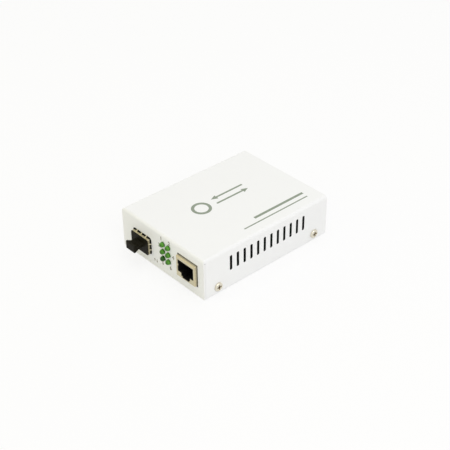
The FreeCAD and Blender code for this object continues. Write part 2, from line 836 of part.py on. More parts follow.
def sfp_spring_collar():
    """The grounding collar round the cage, with spring fingers that meet the case's cutout."""
    body = start_body("sfp_spring_collar", SFP_X, COLLAR_Y, SFP_Z)
    band = start_sketch(body, "XZ_Plane", "band")
    rectangle(
        band,
        f"-{COLLAR_HALF_WIDTH}",
        COLLAR_HALF_WIDTH,
        f"-{COLLAR_HALF_HEIGHT}",
        COLLAR_HALF_HEIGHT,
    )
    pad(body, band, "sizes.collar_length")
    fillet(body, "sizes.cage_corner", edges_along("y"))
    ends = [lambda centre, end=end: close(centre.y, end) for end in ("0", "sizes.collar_length")]
    hollow(body, "sizes.collar_wall", *ends)
    top_start = "-sizes.top_finger_pitch - sizes.finger_width / 2"
    side_start = "sizes.side_finger_lift - sizes.side_finger_pitch / 2 - sizes.finger_width / 2"
    for number in range(3):
        start = f"{top_start} + {number} * sizes.top_finger_pitch"
        finger(body, f"top_finger_{number}", "YZ_Plane", start)
    for number in range(2):
        start = f"{side_start} + {number} * sizes.side_finger_pitch"
        mirror(body, [finger(body, f"side_finger_{number}", "XY_Plane", start)], "YZ_Plane")
    return body


def sfp_host_connector():
    """The edge connector on the board that the pluggable module mates with inside the cage."""
    rear_face = f"{SFP_Y} + sizes.cage_length - sizes.cage_wall - sizes.host_gap"
    body = start_body("sfp_host_connector", SFP_X, rear_face, BOARD_TOP)
    half = "sizes.host_width / 2"
    block(body, "moulding", (f"-{half}", half), ("-sizes.host_length", "0"), ("0", "sizes.host_height"))
    fillet(body, "sizes.component_round", edges_along("z"))
    slot = start_sketch(body, "XZ_Plane", "slot", "-sizes.host_length - sizes.host_gap")
    rectangle(
        slot,
        "-sizes.host_slot_width / 2",
        "sizes.host_slot_width / 2",
        "sizes.host_slot_middle - sizes.host_slot_height / 2",
        "sizes.host_slot_middle + sizes.host_slot_height / 2",
    )
    pocket(body, slot, "sizes.host_slot_depth + sizes.host_gap")
    return body


def dust_plug():
    """The moulded plug that closes the pluggable port: a hollow insert, a flange and a pull grip."""
    body = start_body("dust_plug", SFP_X, SFP_Y, SFP_Z)
    half_width = "(sizes.cage_width / 2 - sizes.cage_wall - sizes.plug_play)"
    half_height = "(sizes.cage_height / 2 - sizes.cage_wall - sizes.plug_play)"
    seat = "(-sizes.plug_seat_gap)"
    insert = start_sketch(body, "XZ_Plane", "insert", seat)
    rectangle(insert, f"-{half_width}", half_width, f"-{half_height}", half_height)
    pad(body, insert, f"sizes.plug_length - {seat}")
    fillet(body, "sizes.plug_corner", edges_along("y"))
    fillet(body, "sizes.plug_corner / 2", lambda edge: close(edge.BoundBox.YMin, "sizes.plug_length"))

    front = f"({seat} - sizes.plug_flange_thickness)"
    flange = start_sketch(body, "XZ_Plane", "flange", front)
    flange_half, flange_up = "sizes.plug_flange_width / 2", "sizes.plug_flange_height / 2"
    rectangle(flange, f"-{flange_half}", flange_half, f"-{flange_up}", flange_up)
    pad(body, flange, "sizes.plug_flange_thickness")
    sides = (f"-{flange_half}", flange_half)
    corners = [edges_along("y", x=x, y=f"{front} + sizes.plug_flange_thickness / 2") for x in sides]
    fillet(body, "sizes.plug_flange_corner", *corners)

    add_grip(body, front)
    inside = start_sketch(body, "XZ_Plane", "inside", f"{front} + sizes.plug_floor")
    wall = "sizes.plug_wall"
    rectangle(
        inside,
        f"-{half_width} + {wall}",
        f"{half_width} - {wall}",
        f"-{half_height} + {wall}",
        f"{half_height} - {wall}",
    )
    pocket(body, inside, "sizes.plug_length + sizes.plug_flange_thickness")
    return body


def add_grip(body, front):
    """The plug's pull grip: a web that flares to a deep end, drawn from the side."""
    web, end = "sizes.grip_web / 2", "sizes.grip_end_height / 2"
    middle = "sizes.grip_rise"
    tip = f"({front} - sizes.grip_length)"
    flare = f"({tip} + sizes.grip_end_thickness)"
    waist = f"({front} - sizes.grip_web_length)"
    upper = [
        (front, f"{middle} + {web}"),
        (waist, f"{middle} + {web}"),
        (flare, f"{middle} + {end}"),
        (tip, f"{middle} + {end}"),
    ]
    lower = [
        (tip, f"{middle} - {end}"),
        (flare, f"{middle} - {end}"),
        (waist, f"{middle} - {web}"),
        (front, f"{middle} - {web}"),
    ]
    sketch = start_sketch(body, "YZ_Plane", "grip", "-sizes.grip_width / 2")
    pad(body, outline(sketch, upper + lower), "sizes.grip_width")
    signs = ("+", "-")
    fillet(
        body,
        "sizes.grip_round",
        *[edges_along("x", y=waist, z=f"{middle} {sign} {web}") for sign in signs],
    )
    fillet(
        body,
        "sizes.grip_edge",
        lambda edge: edge.BoundBox.YMax < value(f"{tip} + 0.01"),
        *[edges_along("x", y=flare, z=f"{middle} {sign} {end}") for sign in signs],
    )


def stepped_mouth(sketch, half_width, inset, floor, ceiling):
    """The outline of a network socket: a wide mouth over two steps for the plug's latch."""
    half_latch = f"(sizes.latch_width / 2 - {inset})"
    half_tab = f"(sizes.tab_width / 2 - {inset})"
    latch_floor, tab_floor = f"sizes.latch_floor + {inset}", f"sizes.tab_floor + {inset}"
    right = [
        (half_tab, tab_floor),
        (half_tab, latch_floor),
        (half_latch, latch_floor),
        (half_latch, floor),
        (half_width, floor),
        (half_width, ceiling),
    ]
    left = [(f"-{across}", up) for across, up in reversed(right)]
    return outline(sketch, right + left)


def jack_shell():
    """The network port's sheet-metal shell: five sides, with the stepped mouth in its front."""
    body = start_body("jack_shell", JACK_X, JACK_Y, BOARD_TOP)
    half = "sizes.jack_width / 2"
    height = "sizes.jack_height"
    block(body, "envelope", (f"-{half}", half), ("0", "sizes.jack_depth"), ("0", height))
    fillet(
        body,
        "sizes.jack_corner",
        edges_along("y", x=half, z=height),
        edges_along("y", x=f"-{half}", z=height),
        edges_along("x", y="0", z=height),
        edges_along("z", x=half, y="0"),
        edges_along("z", x=f"-{half}", y="0"),
    )
    hollow(body, "sizes.jack_wall", lambda centre: close(centre.z, "0"))
    mouth = start_sketch(body, "XZ_Plane", "mouth", "-sizes.jack_wall")
    stepped_mouth(mouth, "sizes.mouth_width / 2", "0", "sizes.mouth_floor", "sizes.mouth_ceiling")
    pocket(body, mouth, "3 * sizes.jack_wall")
    tab = rectangle(
        start_sketch(body, "XZ_Plane", "side_tab"),
        "-sizes.mouth_width / 2 - sizes.jack_wall",
        "-sizes.mouth_width / 2 + sizes.side_tab_reach",
        "sizes.side_tab_middle - sizes.side_tab_height / 2",
        "sizes.side_tab_middle + sizes.side_tab_height / 2",
    )
    pad(body, tab, "sizes.jack_wall")
    return body


def jack_housing():
    """The network port's moulded housing, which fills the shell behind the mouth."""
    body = start_body("jack_housing", JACK_X, JACK_Y, BOARD_TOP)
    clear = "(sizes.jack_wall + sizes.housing_gap)"
    half = f"(sizes.jack_width / 2 - {clear})"
    block(
        body,
        "moulding",
        (f"-{half}", half),
        (clear, f"sizes.jack_depth - {clear}"),
        ("0", f"sizes.jack_height - {clear}"),
    )
    top = f"sizes.jack_height - {clear}"
    fillet(
        body,
        "sizes.jack_corner",
        edges_along("y", x=half, z=top),
        edges_along("y", x=f"-{half}", z=top),
        edges_along("x", y=clear, z=top),
        edges_along("z", x=half, y=clear),
        edges_along("z", x=f"-{half}", y=clear),
    )
    socket = start_sketch(body, "XZ_Plane", "socket")
    inset = "sizes.socket_inset"
    stepped_mouth(
        socket,
        "(sizes.socket_width / 2)",
        inset,
        f"(sizes.mouth_floor + {inset})",
        f"(sizes.mouth_ceiling - {inset})",
    )
    pocket(body, socket, "sizes.socket_depth")
    return body


def jack_contacts():
    """Eight spring contacts that lie along the socket's ceiling and fold back down into it."""
    body = start_body("jack_contact")
    ceiling = "(sizes.mouth_ceiling - sizes.socket_inset)"
    strip = "sizes.contact_strip"
    start, end = "sizes.contact_start", "(sizes.contact_start + sizes.contact_length)"
    tip = f"({start} + sizes.contact_reach)"
    bend = f"({start} + {strip})"
    drop = f"({ceiling} - sizes.contact_drop)"
    side = start_sketch(body, "YZ_Plane", "side", "-sizes.contact_width / 2")
    outline(
        side,
        [
            (start, ceiling),
            (start, f"{ceiling} - 1.5 * {strip}"),
            (tip, f"{drop} - {strip}"),
            (tip, drop),
            (f"{bend} + {strip}", f"{ceiling} - {strip}"),
            (end, f"{ceiling} - {strip}"),
            (end, ceiling),
        ],
    )
    pad(body, side, "sizes.contact_width")
    first = "sizes.contact_pitch * (sizes.contact_count - 1) / 2"
    places = [
        (f"{JACK_X} - {first} + {number} * sizes.contact_pitch", JACK_Y, BOARD_TOP, Rotation())
        for number in range(SIZES["contact_count"])
    ]
    return group("jack_contacts", body, places)


def lamp_holder():
    """The moulded block behind the front: a round bore and a square rim pocket for each lamp."""
    body = start_body("lamp_holder", "sizes.lamp_shift", PAN_FRONT, "0")
    half = "(sizes.lamp_pitch * (sizes.lamp_columns - 1) / 2 + sizes.holder_margin)"
    top = "sizes.lamp_middle + sizes.lamp_pitch * (sizes.lamp_rows - 1) / 2 + sizes.holder_margin"
    block(body, "moulding", (f"-{half}", half), ("0", "sizes.holder_depth"), (BOARD_TOP, top))
    fillet(body, "sizes.component_round", edges_along("y"))
    bores = start_sketch(body, "XZ_Plane", "bores", "-sizes.sheet")
    rim_front = f"{LAMP_BACK} - {PAN_FRONT} - sizes.lamp_rim_length - sizes.thread_gap"
    rims = start_sketch(body, "XZ_Plane", "rim_pockets", rim_front)
    half_rim = "(sizes.lamp_rim_diameter / 2 + sizes.lamp_gap)"
    for across, up in lamp_places():
        centre = f"{across} - sizes.lamp_shift"
        circle(bores, centre, up, "sizes.lamp_diameter / 2 + sizes.thread_gap")
        rectangle(
            rims,
            f"{centre} - {half_rim}",
            f"{centre} + {half_rim}",
            f"{up} - {half_rim}",
            f"{up} + {half_rim}",
        )
    pocket(body, bores, "sizes.holder_depth + 2 * sizes.sheet")
    pocket(body, rims, "sizes.holder_depth")
    return body


def lamp(label, across, up):
    """One round indicator lamp with a domed nose and a rim at its base."""
    body = start_body(label, across, LAMP_BACK, up)
    radius = "sizes.lamp_diameter / 2"
    rim = "sizes.lamp_rim_diameter / 2"
    turn = "90 deg / (sizes.lamp_dome_rings + 1 / 2)"
    top_turn = f"(sizes.lamp_dome_rings * {turn})"
    dome = [
        (
            f"{radius} * cos({ring} * {turn})",
            f"{radius} * (sin({top_turn}) - sin({ring} * {turn})) - sizes.lamp_length",
        )
        for ring in range(SIZES["lamp_dome_rings"], -1, -1)
    ]
    profile = start_sketch(body, "XY_Plane", "profile")
    outline(
        profile,
        [
            ("0", "0"),
            ("0", "-sizes.lamp_length"),
            *dome,
            (radius, "-sizes.lamp_rim_length"),
            (rim, "-sizes.lamp_rim_length"),
            (rim, "0"),
        ],
    )
    revolve(body, profile)
    return body


def lamps():
    """The six lamps, named by row and side."""
    names = ["lamp_low_left", "lamp_low_right", "lamp_middle_left", "lamp_middle_right"]
    names += ["lamp_high_left", "lamp_high_right"]
    return [lamp(name, across, up) for name, (across, up) in zip(names, lamp_places())]


def lamp_leads():
    """The lamps' wire leads, which run back and turn down to the board, row by row."""
    width = "sizes.lead_width"
    first_row = "(sizes.lamp_middle - sizes.lamp_pitch * (sizes.lamp_rows - 1) / 2)"
    pairs = []
    for row in range(SIZES["lamp_rows"]):
        body = start_body(f"lamp_lead_{row}")
        height = f"({first_row} + {row} * sizes.lamp_pitch)"
        back = f"(sizes.lead_reach + {row} * sizes.lead_step)"
        side = start_sketch(body, "YZ_Plane", "side", f"-{width} / 2")
        outline(
            side,
            [
                ("0", f"{height} + {width} / 2"),
                ("0", f"{height} - {width} / 2"),
                (f"{back} - {width}", f"{height} - {width} / 2"),
                (f"{back} - {width}", BOARD_TOP),
                (back, BOARD_TOP),
                (back, f"{height} + {width} / 2"),
            ],
        )
        pad(body, side, width)
        columns = lamp_places()[: SIZES["lamp_columns"]]
        pairs += [
            (body, (f"{across} {sign} sizes.lead_spacing", LAMP_BACK, "0", Rotation()))
            for across, _ in columns
            for sign in ("-", "+")
        ]
    return mixed_group("lamp_leads", pairs)


def inlet_housing():
    """The DC inlet's moulded housing, its mouth in the rear panel."""
    body = start_body("inlet_housing", INLET_X, PAN_REAR, BOARD_TOP)
    half = "sizes.inlet_width / 2"
    block(body, "moulding", (f"-{half}", half), ("-sizes.inlet_length", "0"), ("0", "sizes.inlet_height"))
    fillet(body, "sizes.component_round", edges_along("y"))
    floor = "(-sizes.inlet_bore_depth)"
    bore = circle(start_sketch(body, "XZ_Plane", "bore", floor), "0", AXIS, "sizes.inlet_bore / 2")
    pocket(body, bore, "sizes.inlet_bore_depth + sizes.sheet")
    root = start_sketch(body, "XZ_Plane", "pin_root", f"{floor} - sizes.inlet_pin_root")
    circle(root, "0", AXIS, "sizes.inlet_pin_root_width / 2 + sizes.thread_gap")
    pocket(body, root, "sizes.inlet_pin_root + sizes.sheet")
    slot = start_sketch(body, "XZ_Plane", "spring_slot", floor)
    half_slot = "(sizes.inlet_spring_width / 2 + sizes.inlet_cutout_gap)"
    rectangle(slot, f"-{half_slot}", half_slot, SPRING_FLOOR, f"{AXIS} - sizes.inlet_pin")
    pocket(body, slot, "sizes.inlet_bore_depth - sizes.inlet_spring_slot")
    return body


def inlet_pin():
    """The DC inlet's centre pin: a thick root in the housing, a step in the barrel and a bevelled tip."""
    body = start_body("inlet_pin", INLET_X, PAN_REAR, INLET_Z)
    profile = start_sketch(body, "XY_Plane", "profile")
    radius, root_radius = "sizes.inlet_pin / 2", "sizes.inlet_pin_root_width / 2"
    root, tip = "-sizes.inlet_bore_depth - sizes.inlet_pin_root", "-sizes.inlet_pin_recess"
    step = "sizes.inlet_pin_step - sizes.inlet_bore_depth"
    outline(
        profile,
        [
            ("0", root),
            (root_radius, root),
            (root_radius, step),
            (radius, step),
            (radius, f"{tip} - sizes.inlet_tip"),
            (f"{radius} - sizes.inlet_tip", tip),
            ("0", tip),
        ],
    )
    revolve(body, profile)
    return body


def inlet_spring():
    """The DC inlet's sleeve contact: a leaf bowed up into the barrel from a slot below it."""
    body = start_body("inlet_spring", INLET_X, PAN_REAR, BOARD_TOP)
    strip, rise = "sizes.inlet_spring_strip", "sizes.inlet_spring_rise"
    back = "(-sizes.inlet_bore_depth)"
    front = "(-2 * sizes.inlet_spring_slot)"
    middle = f"(({back} + {front}) / 2)"
    side = start_sketch(body, "YZ_Plane", "side", "-sizes.inlet_spring_width / 2")
    outline(
        side,
        [
            (back, SPRING_FLOOR),
            (front, SPRING_FLOOR),
            (front, f"{SPRING_FLOOR} + {strip}"),
            (f"{middle} + {strip}", f"{SPRING_FLOOR} + {strip} + {rise}"),
            (f"{middle} - {strip}", f"{SPRING_FLOOR} + {strip} + {rise}"),
            (back, f"{SPRING_FLOOR} + {strip}"),
        ],
    )
    pad(body, side, "sizes.inlet_spring_width")
    return body


def component(label, across, along, width, depth, height, rounded="z"):
    """A plain moulded component that stands on the board."""
    body = start_body(label, across, along, BOARD_TOP)
    half_width, half_depth = f"{width} / 2", f"{depth} / 2"
    block(body, "body", (f"-{half_width}", half_width), (f"-{half_depth}", half_depth), ("0", height))
    fillet(body, "sizes.component_round", edges_along(rounded))
    return body


def board_components():
    """The larger parts soldered to the board."""
    jack_rear = f"{JACK_Y} + sizes.jack_depth + sizes.transformer_setback"
    transformer = component(
        "line_transformer",
        JACK_X,
        f"{jack_rear} + sizes.transformer_depth / 2",
        "sizes.transformer_width",
        "sizes.transformer_depth",
        "sizes.transformer_height",
    )
    chip = component(
        "converter_chip",
        "sizes.chip_side",
        "sizes.chip_rear",
        "sizes.chip_span",
        "sizes.chip_span",
        "sizes.chip_height",
    )
    crystal = component(
        "crystal_can",
        "sizes.crystal_side",
        "sizes.crystal_rear",
        "sizes.crystal_width",
        "sizes.crystal_depth",
        "sizes.crystal_height",
    )
    inductor = component(
        "power_inductor",
        "sizes.inductor_side",
        "sizes.inductor_rear",
        "sizes.inductor_span",
        "sizes.inductor_span",
        "sizes.inductor_height",
    )
    regulator = component(
        "voltage_regulator",
        "sizes.regulator_side",
        "sizes.regulator_rear",
        "sizes.regulator_width",
        "sizes.regulator_depth",
        "sizes.regulator_height",
    )
    return [transformer, chip, crystal, inductor, regulator, capacitors()]


def capacitors():
    """Two upright electrolytic capacitors."""
    body = start_body("capacitor")
    radius, height, bevel = "sizes.capacitor_diameter / 2", "sizes.capacitor_height", "sizes.component_round"
    profile = start_sketch(body, "XZ_Plane", "profile")
    outline(
        profile,
        [
            ("0", "0"),
            (radius, "0"),
            (radius, f"{height} - {bevel}"),
            (f"{radius} - {bevel}", height),
            ("0", height),
        ],
    )
    revolve(body, profile)
    middle, apart = "sizes.capacitor_side", "sizes.capacitor_pitch / 2"
    places = [
        (f"{middle} {sign} {apart}", "sizes.capacitor_rear", BOARD_TOP, Rotation())
        for sign in ("-", "+")
    ]
    return group("filter_capacitors", body, places)


def build():
    """Builds every sub-part, in the order in which they are assembled."""
    return [
        base_pan(),
        standoffs(),
        circuit_board(),
        top_cover(),
        *screws(),
        sfp_cage(),
        sfp_spring_collar(),
        sfp_host_connector(),
        dust_plug(),
        jack_shell(),
        jack_housing(),
        jack_contacts(),
        lamp_holder(),
        *lamps(),
        lamp_leads(),
        inlet_housing(),
        inlet_pin(),
        inlet_spring(),
        *board_components(),
    ]


def failed_objects():
    """The objects of the document that could not be computed."""
    return [each.Name for each in doc.Objects if {"Invalid", "Error"} & set(each.State)]


pieces = build()
doc.recompute()
if failed_objects():
    raise RuntimeError(f"not computed: {', '.join(failed_objects())}")
for piece in pieces:
    if piece.Shape.isNull() or not piece.Shape.isValid():
        raise RuntimeError(f"{piece.Label} has no valid shape")
os.makedirs("parts", exist_ok=True)
for piece in pieces:
    piece.Shape.exportStep(f"parts/{piece.Label}.step")
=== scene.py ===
"""Looks of a fibre media converter: finishes, rounded edges, repeats and plain marks round its solids."""

import logging
import math
from collections.abc import Callable, Sequence
from dataclasses import dataclass
from enum import Enum, StrEnum, auto

import bmesh
import bpy
from mathutils import Matrix, Vector


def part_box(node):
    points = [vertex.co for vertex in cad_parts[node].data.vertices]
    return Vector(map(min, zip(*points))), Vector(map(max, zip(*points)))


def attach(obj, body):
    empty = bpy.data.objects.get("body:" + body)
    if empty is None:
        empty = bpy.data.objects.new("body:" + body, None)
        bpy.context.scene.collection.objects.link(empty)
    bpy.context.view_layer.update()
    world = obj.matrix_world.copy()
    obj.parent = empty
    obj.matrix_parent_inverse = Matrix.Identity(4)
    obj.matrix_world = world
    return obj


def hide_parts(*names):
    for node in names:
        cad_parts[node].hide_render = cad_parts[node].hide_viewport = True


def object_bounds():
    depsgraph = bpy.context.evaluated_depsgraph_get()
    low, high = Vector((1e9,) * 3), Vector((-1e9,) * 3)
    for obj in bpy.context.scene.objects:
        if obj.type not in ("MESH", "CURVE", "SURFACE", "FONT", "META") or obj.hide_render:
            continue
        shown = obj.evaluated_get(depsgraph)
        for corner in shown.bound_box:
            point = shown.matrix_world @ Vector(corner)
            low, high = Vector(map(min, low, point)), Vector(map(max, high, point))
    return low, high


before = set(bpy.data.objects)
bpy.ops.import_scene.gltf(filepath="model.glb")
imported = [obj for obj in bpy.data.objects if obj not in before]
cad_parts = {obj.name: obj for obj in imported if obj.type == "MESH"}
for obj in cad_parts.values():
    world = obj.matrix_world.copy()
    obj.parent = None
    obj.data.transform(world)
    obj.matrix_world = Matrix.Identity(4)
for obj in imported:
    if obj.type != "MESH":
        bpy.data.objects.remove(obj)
CAD_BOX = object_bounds()
LOG = logging.getLogger("media_converter")
MM = 0.001
SPECK = 0.0002 * MM  # points of a new shape that are closer than this are one point
WELD = 0.001 * MM  # the same for the corners of a solid's loose triangles
FLAT = math.radians(0.6)  # a solid's faces that turn less than this lie in one plane
HOLLOW = "hollow"  # the attribute that marks a screw's recess
EDGE = 0.12 * MM  # the width of an ordinary rounded edge

Colour = tuple[float, float, float, float]
Point = tuple[float, float, float]
Outline = list[tuple[float, float]]
Piece = bpy.types.Object
Size = tuple[float, float, float, float]


class Body(StrEnum):
    """The bodies that pieces ride on, each named as here in small letters."""

    CONVERTER = auto()
    PLUG = auto()


class Slot(StrEnum):
    """The record's material slots, each named as here in small letters."""

    POWDER_COAT = auto()
    NICKEL_SCREW = auto()
    TINNED_SHEET = auto()
    PLATED_PIN = auto()
    GOLD_CONTACT = auto()
    BOARD_LAMINATE = auto()
    BLACK_MOULDING = auto()
    PLUG_RUBBER = auto()
    GREEN_LENS = auto()
    DARK_CASE = auto()
    CAN_METAL = auto()
    TINNED_WIRE = auto()


class Facing(Enum):
    """The way a turned piece's axis or a mark's face points, as a turn from +Z."""

    UP = Matrix.Identity(4)
    FRONT = Matrix.Rotation(math.pi / 2, 4, "X")


def tint(*levels: int) -> Colour:
    """Turns red, green and blue from 0 to 255, as on screen, into the shader's linear colour."""
    shares = [level / 255 for level in levels]
    return (*(each / 12.92 if each <= 0.04045 else ((each + 0.055) / 1.055) ** 2.4 for each in shares), 1.0)


def shade(colour: Colour, factor: float) -> Colour:
    """Returns the colour made darker or lighter by a factor."""
    red, green, blue, alpha = colour
    return red * factor, green * factor, blue * factor, alpha


# Node trees


def operator(operation: str, reflected: bool = False) -> Callable[..., "Wire"]:
    """Makes a method of Wire that adds one Math node.

    Args:
        operation: The node's operation.
        reflected: Whether the other value comes first.

    Returns:
        The method.
    """

    def method(wire: "Wire", other: "Wire | float" = 0.0) -> "Wire":
        """Adds the node and returns its result."""
        first, second = (other, wire) if reflected else (wire, other)
        return wire.graph.node("ShaderNodeMath", {0: first, 1: second}, operation=operation)

    return method


@dataclass(frozen=True)
class Wire:
    """A node's output. Where it is a value, operators add Math nodes, and > and < give 1 or 0."""

    graph: "NodeGraph"
    socket: bpy.types.NodeSocket

    __add__ = __radd__ = operator("ADD")
    __sub__, __rsub__ = operator("SUBTRACT"), operator("SUBTRACT", reflected=True)
    __mul__ = __rmul__ = operator("MULTIPLY")
    __truediv__, __pow__ = operator("DIVIDE"), operator("POWER")
    __gt__, __lt__ = operator("GREATER_THAN"), operator("LESS_THAN")
    root, fraction = operator("SQRT"), operator("FRACT")


class NodeGraph:
    """A node tree that grows by one node at a time."""

    def __init__(self, tree: bpy.types.NodeTree) -> None:
        """Takes a tree and empties it."""
        self.tree = tree
        tree.nodes.clear()

    def set(self, socket: bpy.types.NodeSocket, given: object) -> None:
        """Links a wire, or each wire of a list, to a socket, or sets its value.

        Args:
            socket: The input to set.
            given: A wire, a list of wires or a value.
        """
        for each in given if isinstance(given, list) else [given]:
            if isinstance(each, Wire):
                self.tree.links.new(each.socket, socket)
            else:
                socket.default_value = each

    def add(self, kind: str, values: dict | None = None, **settings: object) -> bpy.types.Node:
        """Adds a node.

        Args:
            kind: The node's type.
            values: What `set` gives its inputs, by name or place.
            **settings: What is set on the node first, such as a Math node's operation.

        Returns:
            The node.
        """
        made = self.tree.nodes.new(kind)
        for key, setting in settings.items():
            setattr(made, key, setting)
        for key, given in (values or {}).items():
            self.set(made.inputs[key], given)
        return made

    def node(self, kind: str, values: dict | None = None, output: int | str = 0, **settings: object) -> Wire:
        """Adds a node as `add` does, and returns one of its outputs, by name or place."""
        return Wire(self, self.add(kind, values, **settings).outputs[output])


class ShaderGraph(NodeGraph):
    """The node tree of one material, with a Principled shader at its end."""

    def __init__(self, name: str) -> None:
        """Makes a material.

        Args:
            name: The material's name.
        """
        self.material = bpy.data.materials.new(name)
        self.material.use_nodes = True
        super().__init__(self.material.node_tree)
        self.shader = self.add("ShaderNodeBsdfPrincipled")
        self.output = self.add("ShaderNodeOutputMaterial", {"Surface": self.lit()})

    def lit(self) -> Wire:
        """The Principled shader's own output."""
        return Wire(self, self.shader.outputs[0])

    def feed(self, **inputs: object) -> None:
        """Sets the shader's own sockets, named in small letters with underscores."""
        for name, given in inputs.items():
            self.set(self.shader.inputs[name.replace("_", " ").title().replace("Ior", "IOR")], given)

    def place(self, centre: Point | None = None) -> Wire:
        """The point on the object in metres, measured from a centre where one is given.

        Args:
            centre: The point to measure from; the object's origin without it.

        Returns:
            The point's wire.
        """
        point = self.node("ShaderNodeTexCoord", output="Object")
        if centre is None:
            return point
        return self.node("ShaderNodeMapping", {"Vector": point, "Location": -Vector(centre)})

    def axes(self, point: Wire) -> list[Wire]:
        """Splits a point or a colour into its three parts."""
        split = self.add("ShaderNodeSeparateXYZ", {0: point})
        return [Wire(self, socket) for socket in split.outputs]

    def noise(self, grain: float, detail: float = 2.0, stretch: Point = (1, 1, 1)) -> Wire:
        """Soft noise from 0 to 1.

        Args:
            grain: The size of a grain in metres.
            detail: How many finer layers it has.
            stretch: How much longer the grain is along each axis.

        Returns:
            The noise's value.
        """
        scale = tuple(1 / share for share in stretch)
        point = self.node("ShaderNodeMapping", {"Vector": self.place(), "Scale": scale})
        return self.node("ShaderNodeTexNoise", {"Vector": point, "Scale": 1 / grain, "Detail": detail})

    def cells(self, size: float, metric: str = "EUCLIDEAN", output: str = "Distance") -> Wire:
        """Cells of a size in metres: the Distance to each one's middle, or a random Color for each."""
        values = {"Vector": self.place(), "Scale": 1 / size}
        return self.node("ShaderNodeTexVoronoi", values, output, distance=metric)

    def blend(self, factor: "Wire | float", low: "Wire | Colour", high: "Wire | Colour") -> Wire:
        """A colour between two colours."""
        return self.node("ShaderNodeMix", {0: factor, 6: low, 7: high}, 2, data_type="RGBA")

    def vector(self, operation: str, first: Wire, second: Vector | None = None, output: int = 0) -> Wire:
        """One Vector Math node's result: output 0 is a vector, 1 a value."""
        values = {0: first} if second is None else {0: first, 1: second}
        return self.node("ShaderNodeVectorMath", values, output, operation=operation)

    def clamped(self, value: Wire) -> Wire:
        """A value kept from 0 to 1."""
        return self.node("ShaderNodeClamp", {"Value": value})

    def bump(self, height: Wire, depth: float, strength: float = 1.0) -> Wire:
        """A surface normal from a height from 0 to 1 and the depth in metres that it stands for."""
        return self.node("ShaderNodeBump", {"Height": height, "Distance": depth, "Strength": strength})


# Finishes. The bare numbers in paint are shares of a blend, or how far a roughness swings.


@dataclass(frozen=True)
class Finish:
    """A surface finish: what is the same all over it; `paint` adds what varies. A print has no slot."""

    name: str
    colour: Colour
    roughness: float
    metallic: float = 0.0
    coat_weight: float = 0.0
    coat_roughness: float = 0.12
    specular: float = 0.5
    slot: Slot | None = None

    def material(self) -> bpy.types.Material:
        """Makes the finish's material, once.

        Returns:
            The material of the finish's name.
        """
        made = bpy.data.materials.get(self.name)
        if made:
            return made
        graph = ShaderGraph(self.name)
        graph.feed(base_color=self.colour, roughness=self.roughness, metallic=self.metallic)
        graph.feed(specular_ior_level=self.specular)
        if self.coat_weight:
            graph.feed(coat_weight=self.coat_weight, coat_roughness=self.coat_roughness)
        self.paint(graph)
        graph.material.diffuse_color = self.colour
        return graph.material

    def paint(self, graph: ShaderGraph) -> None:
        """Adds what varies over the surface."""
        raise NotImplementedError


@dataclass(frozen=True)
class PowderCoat(Finish):
    """Baked powder: an even colour with a fine orange-peel skin, and painted shade inside a round-edged box.

    The box is the folded sheet's outside: its middle, its half sizes and the radius of its bends.
    """

    slot: Slot = Slot.POWDER_COAT
    drift: float = 14 * MM
    peel: float = 0.55 * MM
    peel_depth: float = 0.006 * MM
    box_middle: Point = (0, 0, 0)
    box_half: Point = (0, 0, 0)
    bend_radius: float = 2.0 * MM
    film: float = 0.06 * MM
    # painted shade: the near-black colour of the inside faces and slot walls
    bare: Colour = (0.02, 0.022, 0.02, 1.0)

    def _inside(self, graph: ShaderGraph) -> Wire:
        """1 for what lies deeper than the film below the box's round-edged skin, else 0.

        Args:
            graph: The material's nodes.

        Returns:
            The wire that is 1 inside.
        """
        core = Vector(self.box_half) - Vector([self.bend_radius] * 3)
        from_middle = graph.vector("ABSOLUTE", graph.place(self.box_middle))
        beyond = graph.vector("MAXIMUM", graph.vector("SUBTRACT", from_middle, core), Vector())
        return graph.vector("LENGTH", beyond, output=1) < self.bend_radius - self.film

    def paint(self, graph: ShaderGraph) -> None:
        """Adds the orange peel, its uneven gloss, a faint drift of the colour and the painted shade inside.

        Args:
            graph: The material's nodes.
        """
        drift = graph.noise(self.drift, 3.0)
        coat = graph.blend(drift, shade(self.colour, 0.985), self.colour)
        # painted shade: inside the box the coat gives way to near black, so the slots read dark
        graph.feed(base_color=graph.blend(self._inside(graph), coat, self.bare))
        skin = graph.noise(self.peel, 1.0) * 0.7 + graph.noise(self.peel / 3, 1.0) * 0.3
        graph.feed(roughness=skin * 0.12 + (self.roughness - 0.06))
        graph.feed(normal=graph.bump(skin, self.peel_depth, 0.6))


